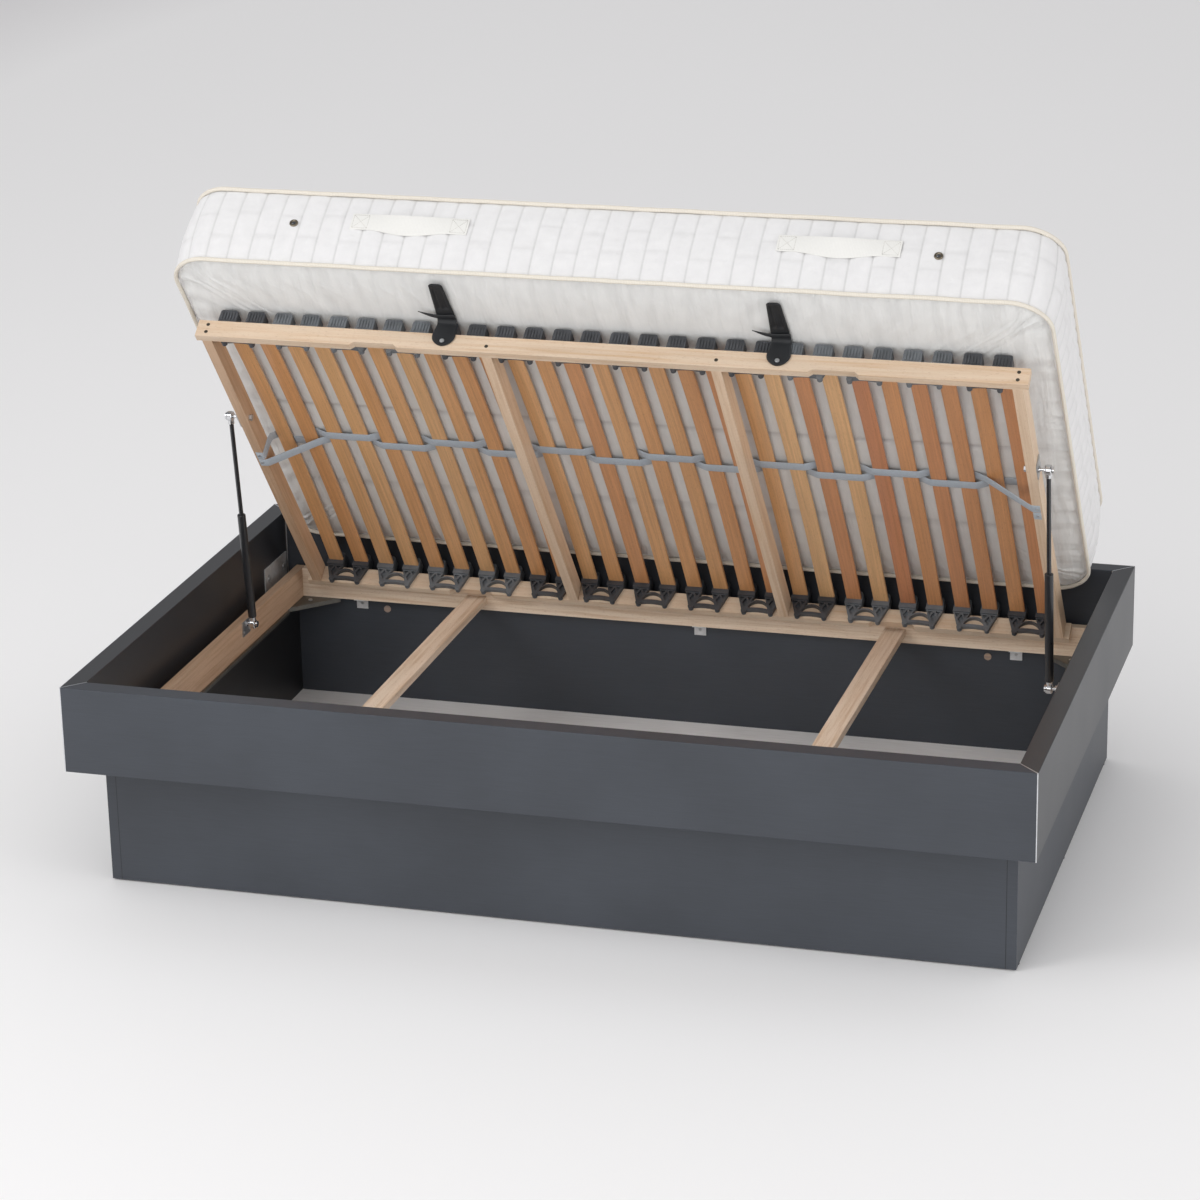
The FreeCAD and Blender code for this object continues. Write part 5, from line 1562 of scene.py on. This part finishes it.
    def core(self, wardrobe: Wardrobe) -> Piece:
        """Padded body whose two panels swell from their seams.

        Rings follow the outline inwards to the middle line, where both sides meet and are joined.  A panel
        rises from its seam by the crown's share, plus the stuffing's swell, less folds that fade away from
        the seam, less the dips of its cross seams.

        Args:
            wardrobe: Source of the materials.

        Returns:
            The core.
        """
        stations = self.spread((200, 24, 104, 24) * 2)
        station, inset = np.meshgrid(stations, self.rings())
        x, u = self.outline(station, inset)
        run = np.broadcast_to(np.linspace(0, WAY_ROUND, len(stations), endpoint=False)[None, :], x.shape)
        swell = self.swell(x, u)
        depth = inset - self.tuck
        fade = np.exp(-depth / (90 * MM)) * np.clip(depth / (9 * MM), 0, 1)
        folds = ripple(run + 0.01 * ripple(depth, 2, 0.05, 0.2, 8), 9, 18 * MM, 70 * MM, 11) * fade
        creases = ripple(run + 0.02 * ripple(depth, 2, 0.05, 0.2, 4), 6, 50 * MM, 150 * MM, 12) * fade
        seams = sum(np.exp(-((u - seam) / (7 * MM)) ** 2) for seam in self.cross_seams)
        seams = seams * np.clip(depth / (120 * MM), 0, 1)
        pitch, wide = self.tuft_pitch, 9 * MM
        tufts = np.exp(-(np.abs(((x / pitch) % 1) - 0.5) * pitch / wide) ** 2)
        tufts = np.maximum(tufts, np.exp(-(np.abs((((u - 40 * MM) / pitch) % 1) - 0.5) * pitch / wide) ** 2))
        tufts = tufts * np.clip(depth / (60 * MM), 0, 1)
        low = self.underside_level(inset, swell, np.clip(folds + 0.6 * creases, -2, 2), seams)
        high = self.top_level(inset, swell, np.clip(folds + 0.5 * creases, -2, 2), tufts)
        bottom = self.place(x, u, low)[::-1]
        top = self.place(x, u, high)
        points = np.concatenate([bottom, top])[None]
        # Darker bands along the underside's cross seams and the top's stitched lines, far wider than a
        # thread: partly thread, mostly painted shade in their dips.
        crease = np.concatenate([(0.8 * seams)[::-1], 0.35 * tufts])[None]
        grid = Grid(points, loop_columns=True, marks={"crease": np.clip(crease, 0, 1)})
        piece = grid.build("mattress_core", sharp=180, merge=True)
        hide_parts("mattress")
        wardrobe.fit(piece, PANEL_TICKING, "mattress")
        return piece

    def taped_edges(self, wardrobe: Wardrobe) -> list[Piece]:
        """Round tape over each seam: a slightly flattened round profile carried along the outline.

        Args:
            wardrobe: Source of the materials.

        Returns:
            The two taped edges.
        """
        stations = self.spread((180, 22, 100, 22) * 2)
        turns = np.linspace(0, math.tau, 12, endpoint=False)
        pieces = []
        for name, level in (("lower", self.seam_low - 3.4 * MM), ("upper", self.seam_high + 3.4 * MM)):
            x, u = self.outline(stations, np.array(self.draw - 2 * MM))
            far_x, far_u = self.outline(stations, np.array(self.draw - 3 * MM))
            out = normalised(np.stack([far_x - x, far_u - u], -1))
            run = np.linspace(0, WAY_ROUND, len(stations), endpoint=False)
            size = self.tape * (1 + 0.04 * ripple(run, 6, 18 * MM, 60 * MM, 21))
            lean = 0.5 * MM * ripple(run, 5, 0.11, 0.4, 22)
            radial = size[:, None] * np.cos(turns)[None, :] * 0.9
            upward = size[:, None] * np.sin(turns)[None, :] * 1.08 + lean[:, None]
            ring_x = x[:, None] + out[:, :1] * radial
            ring_u = u[:, None] + out[:, 1:] * radial
            points = self.place(ring_x, ring_u, level + upward)[None]
            length = np.concatenate([run, [WAY_ROUND]])
            girth = np.linspace(0, math.tau * self.tape, len(turns) + 1)
            uv = np.stack(np.broadcast_arrays(length[:, None], girth[None, :]), -1)[None]
            grid = Grid(points, loop_rows=True, loop_columns=True, uv=uv)
            piece = grid.build(f"mattress_tape_{name}", sharp=180)
            wardrobe.fit(piece, TAPE_EDGE, "mattress")
            pieces.append(piece)
        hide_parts("mattress_piping")
        return pieces

    def build(self, wardrobe: Wardrobe) -> None:
        """Make the mattress's own pieces.

        Args:
            wardrobe: Source of the materials.
        """
        self.core(wardrobe)
        self.border(wardrobe)
        self.taped_edges(wardrobe)


@dataclass
class Handle:
    """Webbing handle sewn flat at both ends and arched between, with a box and cross of stitches.

    Attributes:
        name: Name of the piece.
        centre: Its middle across.
        level: Its middle above the mattress's underside.
        length: Full length.
        width: Width of the webbing.
        thickness: Thickness of the webbing.
        arch: How far the slack middle stands off the border.
        sag: How far it hangs down.
        face_u: Front of the mattress's border in u.
        margin: How far the stitches stand inside the webbing's edges.
        stitch: Length of a stitch with its gap.
        thread: Radius of the thread.
    """

    name: str
    centre: float
    level: float = 127 * MM
    length: float = 262 * MM
    width: float = 42 * MM
    thickness: float = 2 * MM
    arch: float = 8 * MM
    sag: float = 11 * MM
    face_u: float = 1162.4 * MM
    margin: float = 4 * MM
    stitch: float = 4.2 * MM
    thread: float = 0.55 * MM

    def slack(self, offset: Array) -> Array:
        """Share of the slack: a raised cosine between the sewn squares, a little fuller.

        Args:
            offset: Distance from the handle's middle.

        Returns:
            Shares from 0 to 1.
        """
        free = self.length / 2 - self.width
        share = np.clip(np.abs(offset) / free, 0, 1)
        return (0.5 + 0.5 * np.cos(math.pi * share)) ** 0.8

    def build(self, wardrobe: Wardrobe, mattress: Mattress) -> list[Piece]:
        """Make the handle and its stitches.

        Args:
            wardrobe: Source of the materials.
            mattress: The mattress that carries it.

        Returns:
            The webbing and the stitches.
        """
        offsets = np.linspace(-self.length / 2, self.length / 2, 75)
        outline = rounded_rectangle(self.width, self.thickness, 0.8 * MM, 2)
        slack = self.slack(offsets)[:, None]
        upward = (outline[:, 0] / (self.width / 2))[None, :]
        bulge = 1.2 * MM * slack * (1 - upward ** 2)
        lean = self.arch * slack * (1 + upward)
        x = self.centre + offsets[:, None] + 0 * upward
        u = self.face_u + self.thickness / 2 + lean + outline[None, :, 1] + bulge
        h = self.level + outline[None, :, 0] - self.sag * slack
        points = mattress.place(x, u, h)[None]
        uv = np.stack(np.broadcast_arrays((offsets + 1)[:, None], around(outline)[None, :]), -1)[None]
        strap = Grid(points, loop_columns=True, capped=True, uv=uv).build(f"{self.name}_webbing", sharp=50)
        wardrobe.fit(strap, HANDLE_TAPE, "mattress")
        stitches = self.stitches(mattress)
        wardrobe.fit(stitches, THREAD, "mattress")
        return [strap, stitches]

    def stitches(self, mattress: Mattress) -> Piece:
        """Box and cross of stitches on both sewn squares, each stitch a short bead of thread.

        A bead is a ring of six points that grows from nothing at one end to the thread's radius and back.

        Args:
            mattress: The mattress that carries the handle.

        Returns:
            All stitches as one piece.
        """
        half = self.width / 2 - self.margin
        corners = np.array([(-half, -half), (half, -half), (half, half), (-half, half)])
        runs = [(corners[i], corners[(i + 1) % 4]) for i in range(4)]
        runs += [(corners[0], corners[2]), (corners[1], corners[3])]
        starts = []
        ends = []
        for first, last in runs:
            count = max(3, round(float(np.linalg.norm(last - first)) / self.stitch))
            steps = np.linspace(0, 1, count + 1)[:, None]
            starts.append(first + (last - first) * (steps[:-1] + 0.12 / count))
            ends.append(first + (last - first) * (steps[1:] - 0.12 / count))
        square = np.array([self.length / 2 - self.width / 2, 0])
        start, end = np.concatenate(starts), np.concatenate(ends)
        start, end = (np.concatenate([line - square, line + square]) for line in (start, end))
        along = np.linspace(0, 1, 5)
        size = self.thread * np.sin(math.pi * np.clip(along, 0.08, 0.92)) ** 0.5
        turns = np.linspace(0, math.tau, 6, endpoint=False)
        heading = normalised(end - start)
        across = np.stack([-heading[:, 1], heading[:, 0]], -1)
        middle = start[:, None, :] + (end - start)[:, None, :] * along[None, :, None]
        ring = size[None, :, None] * np.cos(turns)[None, None, :]
        x = self.centre + middle[:, :, None, 0] + across[:, None, None, 0] * ring
        h = self.level + middle[:, :, None, 1] + across[:, None, None, 1] * ring
        u = self.face_u + self.thickness + size[None, :, None] * np.sin(turns)[None, None, :] + 0 * x
        return Grid(mattress.place(x, u, h), loop_columns=True, capped=True).build(f"{self.name}_stitches")


@dataclass
class Eyelets:
    """Two metal eyelets in the border: a rounded rim about a dark mesh cup.

    Attributes:
        centres: Places across.
        level: Height above the mattress's underside.
        face_u: Front of the border in u.
        rim: Radius and depth of each point of a rim's profile, in millimetres.
        cup: The same for the mesh cup inside.
    """

    centres: Sequence[float] = (-690 * MM, 715 * MM)
    level: float = 115 * MM
    face_u: float = 1162.0 * MM
    rim: Sequence[tuple[float, float]] = (
        (3.0, -0.6), (4.4, 0.6), (5.0, 1.9), (6.4, 2.8), (8.0, 2.6), (9.3, 1.6), (9.7, 0.0), (9.4, -1.8),
        (3.0, -2.0),
    )
    cup: Sequence[tuple[float, float]] = ((0.01, 0.4), (2.4, 0.4), (4.2, 0.9), (4.6, 0.2), (0.01, -1.0))

    def turned(self, name: str, profile: Sequence[tuple[float, float]], mattress: Mattress) -> Piece:
        """Carry a profile of radius and depth, in millimetres, round a circle at both places.

        Args:
            name: Name of the piece.
            profile: Radii and depths.
            mattress: The mattress that carries it.

        Returns:
            The piece.
        """
        line = np.array(profile) * MM
        turns = np.linspace(0, math.tau, 28, endpoint=False)
        x = line[None, :, :1] * np.cos(turns) + np.array(self.centres)[:, None, None]
        h = line[None, :, :1] * np.sin(turns) + self.level + 0 * x
        u = self.face_u + line[None, :, 1:] + 0 * x
        return Grid(mattress.place(x, u, h), loop_columns=True, capped=True).build(name)

    def build(self, wardrobe: Wardrobe, mattress: Mattress) -> None:
        """Make the rims and the cups.

        Args:
            wardrobe: Source of the materials.
            mattress: The mattress that carries them.
        """
        rim = self.turned("mattress_eyelets", self.rim, mattress)
        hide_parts("mattress_vents")
        wardrobe.fit(rim, NICKEL, "mattress")
        cup = self.turned("mattress_eyelet_cups", self.cup, mattress)
        wardrobe.fit(cup, RUBBER_BLACK, "mattress")


@dataclass
class MattressStrap:
    """Moulded strap that keeps the mattress on the open lid, and its keeper with a curved tail.

    Attributes:
        side: Left or right, as in the CAD node's name.
        centre: Its middle across.
        thickness: Thickness of the strap.
        face_u: Front of the lid's rail in u.
        top_v: Upper face of the tongue in v.
        tab_v: Lowest point of the tab in v.
        bend: Inner radius of the bend.
        tip_u: Tip of the tongue in u.
        widths: Widths of the tab, of the tongue's root and of its tip.
        round_tip: Length of the rounded tip.
        slot: Start of the sunk slot in u, and how far it stops short of the tip.
        slot_depth: Depth of the slot.
        slot_half: Half width of the slot, as a share of the strap's.
        rib_height: Height of the rib in the slot.
        tab_rim: Height of the rim round the tab.
        tab_end: Where the rim round the tab ends in u.
    """

    side: str
    centre: float
    thickness: float = 4.4 * MM
    face_u: float = 998 * MM
    top_v: float = 77.7 * MM
    tab_v: float = 10 * MM
    bend: float = 9 * MM
    tip_u: float = 1128 * MM
    widths: Sequence[float] = (52 * MM, 43 * MM, 31 * MM)
    round_tip: float = 6 * MM
    slot: tuple[float, float] = (1042 * MM, 6 * MM)
    slot_depth: float = 2.9 * MM
    slot_half: float = 0.68
    rib_height: float = 2.4 * MM
    tab_rim: float = 0.5 * MM
    tab_end: float = 1030 * MM

    def line(self) -> tuple[Array, Array, Array]:
        """Middle line of the strap and its half width.

        The line climbs the rail, turns through a quarter circle and runs out under the mattress.  The half
        width follows a circle at both ends and straight tapers between.

        Returns:
            Points of u and v, headings of u and v, and half widths.
        """
        middle = self.thickness / 2
        turn = self.bend + middle
        corner = np.array([self.face_u + self.thickness + self.bend, self.top_v - self.thickness - self.bend])
        disc = self.widths[0] / 2
        climb = self.tab_v + disc * (1 - np.cos(np.linspace(0.12, math.pi / 2, 9)))
        climb = np.concatenate([climb, np.linspace(self.tab_v + disc, corner[1], 8)[1:]])
        angles = np.linspace(math.pi, math.pi / 2, 9)[1:]
        run = np.linspace(corner[0], self.tip_u - self.round_tip, 34)[1:]
        ease = self.tip_u - self.round_tip * (1 - np.sin(np.linspace(0, math.pi / 2 - 0.12, 7)))[1:]
        tongue = np.concatenate([run, ease])
        flat_u, flat_v = np.full(len(climb), self.face_u + middle), np.full(len(tongue), self.top_v - middle)
        u = np.concatenate([flat_u, corner[0] + turn * np.cos(angles), tongue])
        v = np.concatenate([climb, corner[1] + turn * np.sin(angles), flat_v])
        half_climb = np.interp(climb, [self.tab_v + disc, corner[1]], [disc, self.widths[1] / 2])
        low = np.clip((self.tab_v + disc - climb) / disc, 0, 1)
        half_climb = np.minimum(half_climb, disc * np.sqrt(1 - low ** 2))
        half_run = np.interp(tongue, [corner[0], self.tip_u], [self.widths[1] / 2, self.widths[2] / 2])
        far = np.clip((tongue - self.tip_u + self.round_tip) / self.round_tip, 0, 1)
        half_run = half_run - self.round_tip * (1 - np.sqrt(1 - far ** 2))
        half = np.concatenate([half_climb, np.full(len(angles), self.widths[1] / 2), half_run])
        points = np.stack([u, v], -1)
        return points, normalised(np.gradient(points, axis=0)), half

    def build(self, wardrobe: Wardrobe) -> None:
        """Make the strap and its keeper.

        The outer face carries a long slot: it is sunk where the share across is under two thirds and the
        place lies between the keeper and the tip, with a curved rib inside.

        Args:
            wardrobe: Source of the materials.
        """
        points, heading, half = self.line()
        across = np.linspace(-1, 1, 25)
        edge = np.sqrt(1 - np.abs(across) ** 9)
        inner = slice(-2, 0, -1)
        share = np.concatenate([across, across[inner]])
        height = self.thickness / 2 * np.concatenate([edge, -edge[inner]])
        outer = np.concatenate([np.ones(len(across)), np.zeros(len(across) - 2)])
        u = points[:, :1]
        start, stop = self.slot[0], self.tip_u - self.slot[1]
        open_run = np.clip((u - start) / (4 * MM), 0, 1) * np.clip((stop - u) / (3 * MM), 0, 1)
        tab_run = np.clip((self.tab_end - u) / (4 * MM), 0, 1)
        open_share = np.clip((self.slot_half - np.abs(share)) / 0.08, 0, 1)[None, :]
        sunk = self.slot_depth * open_run * open_share
        rib_place = -0.12 - 0.3 * np.clip((u - start) / (stop - start), 0, 1) ** 2
        rib = self.rib_height * open_run * np.exp(-((share[None, :] - rib_place) / 0.13) ** 2)
        rim = self.tab_rim * tab_run * np.clip((np.abs(share)[None, :] - 0.8) / 0.1, 0, 1)
        rise = height[None, :] + outer[None, :] * (rib + rim - sunk)
        x = self.centre + half[:, None] * share[None, :]
        place_u = u + rise * heading[:, 1:]
        place_v = points[:, 1:] - rise * heading[:, :1]
        grid = Grid(LID.place(x, place_u, place_v)[None], loop_columns=True, capped=True)
        strap = grid.build(f"strap_{self.side}", sharp=60)
        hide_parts(f"mattress_strap_{self.side}")
        wardrobe.fit(strap, STRAP_RUBBER, "lid")
        wardrobe.fit(self.keeper(), STRAP_RUBBER, "lid")

    def keeper(self) -> Piece:
        """Crosswise keeper: an oval profile carried along a sagging curve, pointed at its left end.

        Returns:
            The keeper.
        """
        run = np.linspace(0, 1, 41)
        x = self.centre - 58 * MM + run * 81 * MM
        sagging = 15 * (1 - np.minimum(run / 0.55, 1)) ** 1.6 + 4 * np.clip((run - 0.55) / 0.45, 0, 1) ** 2
        u = (1021 + sagging) * MM
        wide = 6.6 * MM * np.clip(run / 0.5, 0.08, 1) ** 0.55
        wide = wide * np.sqrt(1 - np.clip((run - 0.94) / 0.062, 0, 0.97) ** 2)
        thick = 2.1 * MM * np.clip(run / 0.3, 0.25, 1)
        turns = np.linspace(0, math.tau, 16, endpoint=False)
        ring_u = u[:, None] + wide[:, None] * np.cos(turns)
        ring_v = 70.6 * MM + thick[:, None] * np.sin(turns)
        points = LID.place(x[:, None], ring_u, ring_v)[None]
        return Grid(points, loop_columns=True, capped=True).build(f"strap_keeper_{self.side}")


# The studio


@dataclass
class Studio:
    """Pale floor, soft lights and the camera.

    Attributes:
        air: Colour of the even light from all round.
        ambient: Strength of that light.
        background: Colour of the wall that the camera and gloss see.
        overhead: Colour of the ceiling that they see.
        painted_floor_light: Colours of the floor, painted light and shade, each from its share of the painted
            pool of light's reach.
        pool: Middle of the painted pool of light on the floor.
        pool_size: Its two half sizes.
        lamps: Name, place, side and power in watts of each soft light.
        azimuth: Turn of the camera round the bed in degrees, as the pool's.
        elevation: Height of the camera as an angle in degrees.
        roll: Tilt of the picture in degrees.
        stand: Place of the camera.
        lens: Focal length in pixels of a picture as wide as the frame.
        picture: Width of the frame in pixels.
        sensor: Width of the sensor in millimetres.
    """

    air: str = "#fbfbfc"
    ambient: float = 0.78
    background: str = "#e9e7e7"
    overhead: str = "#77787b"
    # Painted light and shade on the floor: palest in the pool, greyer outside.
    painted_floor_light: Sequence[tuple[float, str]] = ((0.3, "#f4f3f3"), (0.55, "#f2f1f1"), (0.72, "#dddbdc"))
    pool: tuple[float, float] = (-0.85, 4.1)
    pool_size: tuple[float, float] = (3.9, 8.4)
    lamps: Sequence[tuple[str, tuple[float, float, float], float, float]] = (
        ("overhead_soft", (-0.4, -2.0, 5.6), 4.5, 16),
        ("key_soft", (-4.3, -4.6, 5.0), 3.0, 125),
        ("front_soft", (-0.6, -7.6, 2.4), 4.5, 120),
        ("side_low", (6.5, -2.2, 1.1), 2.0, 85),
    )
    azimuth: float = 16.48
    elevation: float = 19.53
    roll: float = -1.21
    stand: tuple[float, float, float] = (2.16366, -7.48181, 3.27964)
    lens: float = 3768.85
    picture: int = 1200
    sensor: float = 36

    def world(self) -> None:
        """Even light from all round; the camera, gloss and glass see a pale wall under a darker ceiling."""
        world = bpy.data.worlds.new("studio_air")
        bpy.context.scene.world = world
        world.use_nodes = True
        tree = world.node_tree
        shade = tree.nodes["Background"]
        shade.inputs["Color"].default_value = linear(self.air)
        shade.inputs["Strength"].default_value = self.ambient
        heading = add_node(tree, "TexCoord")
        parts = add_node(tree, "SeparateXYZ", {}, {"Vector": heading.outputs["Generated"]})
        wall = add_node(
            tree, "ValToRGB",
            {"stops": [(0.1, linear(self.background)), (0.42, linear(self.overhead))]},
            {"Fac": parts.outputs["Z"]},
        )
        seen = add_node(tree, "Background", {"Strength": 1.0}, {"Color": wall})
        path = add_node(tree, "LightPath")
        glossy = add_node(
            tree, "Math", {"operation": "MAXIMUM"},
            {0: path.outputs["Is Camera Ray"], 1: path.outputs["Is Glossy Ray"]},
        )
        clear = add_node(
            tree, "Math", {"operation": "MAXIMUM"}, {0: glossy, 1: path.outputs["Is Transmission Ray"]}
        )
        mix = add_node(tree, "MixShader", {}, {0: clear, 1: shade, 2: seen})
        feed(tree, tree.nodes["World Output"], {"Surface": mix})

    def floor(self) -> Piece:
        """Wide matt floor, painted palest in an oval pool of light about the bed and greyer outside it, as
        painted light and shade.

        Returns:
            The floor.
        """
        radii = np.array([0.01, 2, 4, 6, 9, 13, 18, 26, 40])
        turns = np.linspace(0, math.tau, 48, endpoint=False)
        points = np.stack([
            radii[:, None] * np.cos(turns), radii[:, None] * np.sin(turns), np.zeros((len(radii), len(turns)))
        ], -1)[None]
        piece = Grid(points[:, ::-1], loop_columns=True).build("studio_floor", merge=True)
        if piece.data.polygons[0].normal.z < 0:
            piece.data.flip_normals()
        material = bpy.data.materials.new("studio_floor_painted_light_pool")
        material.use_nodes = True
        tree = material.node_tree
        shader = tree.nodes["Principled BSDF"]
        shader.inputs["Roughness"].default_value = 0.7
        shader.inputs["Specular IOR Level"].default_value = 0.25
        place = add_node(tree, "TexCoord")
        pool = add_node(
            tree, "Mapping",
            {
                "vector_type": "TEXTURE", "Location": (*self.pool, 0.0),
                "Rotation": (0.0, 0.0, math.radians(self.azimuth)), "Scale": (*self.pool_size, 1.0),
            },
            {"Vector": place.outputs["Object"]},
        )
        reach = add_node(tree, "VectorMath", {"operation": "LENGTH"}, {0: pool})
        share = add_node(
            tree, "MapRange", {"From Min": 0.0, "From Max": 1.6}, {"Value": reach.outputs["Value"]}
        )
        # Painted pool of light: the floor is paler near the bed and greyer farther out.
        stops = [(place, linear(colour)) for place, colour in self.painted_floor_light]
        tint = add_node(tree, "ValToRGB", {"stops": stops}, {"Fac": share})
        feed(tree, shader, {"Base Color": tint})
        piece.data.materials.append(material)
        return piece

    def lamp(self, name: str, place: tuple[float, float, float], size: float, power: float) -> None:
        """Square soft light aimed at the bed's middle.

        Args:
            name: Name of the light.
            place: Where it hangs.
            size: Length of its side.
            power: Its power in watts.
        """
        data = bpy.data.lights.new(name, "AREA")
        data.shape = "SQUARE"
        data.size = size
        data.energy = power
        lamp = bpy.data.objects.new(name, data)
        lamp.location = place
        aim = np.array([0.0, 0.0, 0.5]) - np.array(place)
        lamp.rotation_mode = "QUATERNION"
        lamp.rotation_quaternion = Vector(aim).to_track_quat("-Z", "Y")
        bpy.context.scene.collection.objects.link(lamp)

    def camera(self) -> None:
        """Camera at the photograph's place: its axes follow from azimuth, elevation and roll."""
        angles = (self.azimuth, self.elevation, self.roll)
        azimuth, elevation, roll = (math.radians(angle) for angle in angles)
        level = math.cos(elevation)
        back = np.array([math.sin(azimuth) * level, -math.cos(azimuth) * level, math.sin(elevation)])
        right = np.cross(-back, [0.0, 0.0, 1.0])
        right /= np.linalg.norm(right)
        up = np.cross(right, -back)
        turned = right * math.cos(roll) + up * math.sin(roll)
        upright = up * math.cos(roll) - right * math.sin(roll)
        data = bpy.data.cameras.new("studio_camera")
        data.sensor_fit = "HORIZONTAL"
        data.sensor_width = self.sensor
        data.lens = self.sensor * self.lens / self.picture
        data.clip_start = 0.1
        data.clip_end = 200
        camera = bpy.data.objects.new("studio_camera", data)
        rows = np.vstack([np.stack([turned, upright, back, np.array(self.stand)], -1), [0, 0, 0, 1]])
        camera.matrix_world = Matrix(rows.tolist())
        bpy.context.scene.collection.objects.link(camera)
        bpy.context.scene.camera = camera

    def build(self) -> None:
        """Set up the studio."""
        bpy.context.scene.view_settings.view_transform = "Standard"
        self.camera()
        self.world()
        self.floor()
        for lamp in self.lamps:
            self.lamp(*lamp)


def main() -> None:
    """Build and dress the bed."""
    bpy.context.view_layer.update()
    wardrobe = Wardrobe()
    Studio().build()
    for part in (Carcass(), Fittings(), Struts(), LidFrame()):
        part.dress(wardrobe)
        log.info("%s is dressed", type(part).__name__)
    slats = Slats()
    slats.build(wardrobe)
    Belt("belt_of_front_row", "belt_front", 541.5 * MM, True, drift=-40 * MM).build(wardrobe, slats)
    Belt("belt_of_rear_row", "belt_rear", 514.5 * MM, False, drift=11 * MM).build(wardrobe, slats)
    mattress = Mattress()
    mattress.build(wardrobe)
    webbing, _ = Handle("handle_left", -430 * MM).build(wardrobe, mattress)
    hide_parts("mattress_handles")
    Handle("handle_right", 505 * MM).build(wardrobe, mattress)
    Eyelets().build(wardrobe, mattress)
    for side, centre in (("left", -351.5 * MM), ("right", 383.5 * MM)):
        MattressStrap(side, centre).build(wardrobe)


if __name__ == "__main__":
    main()
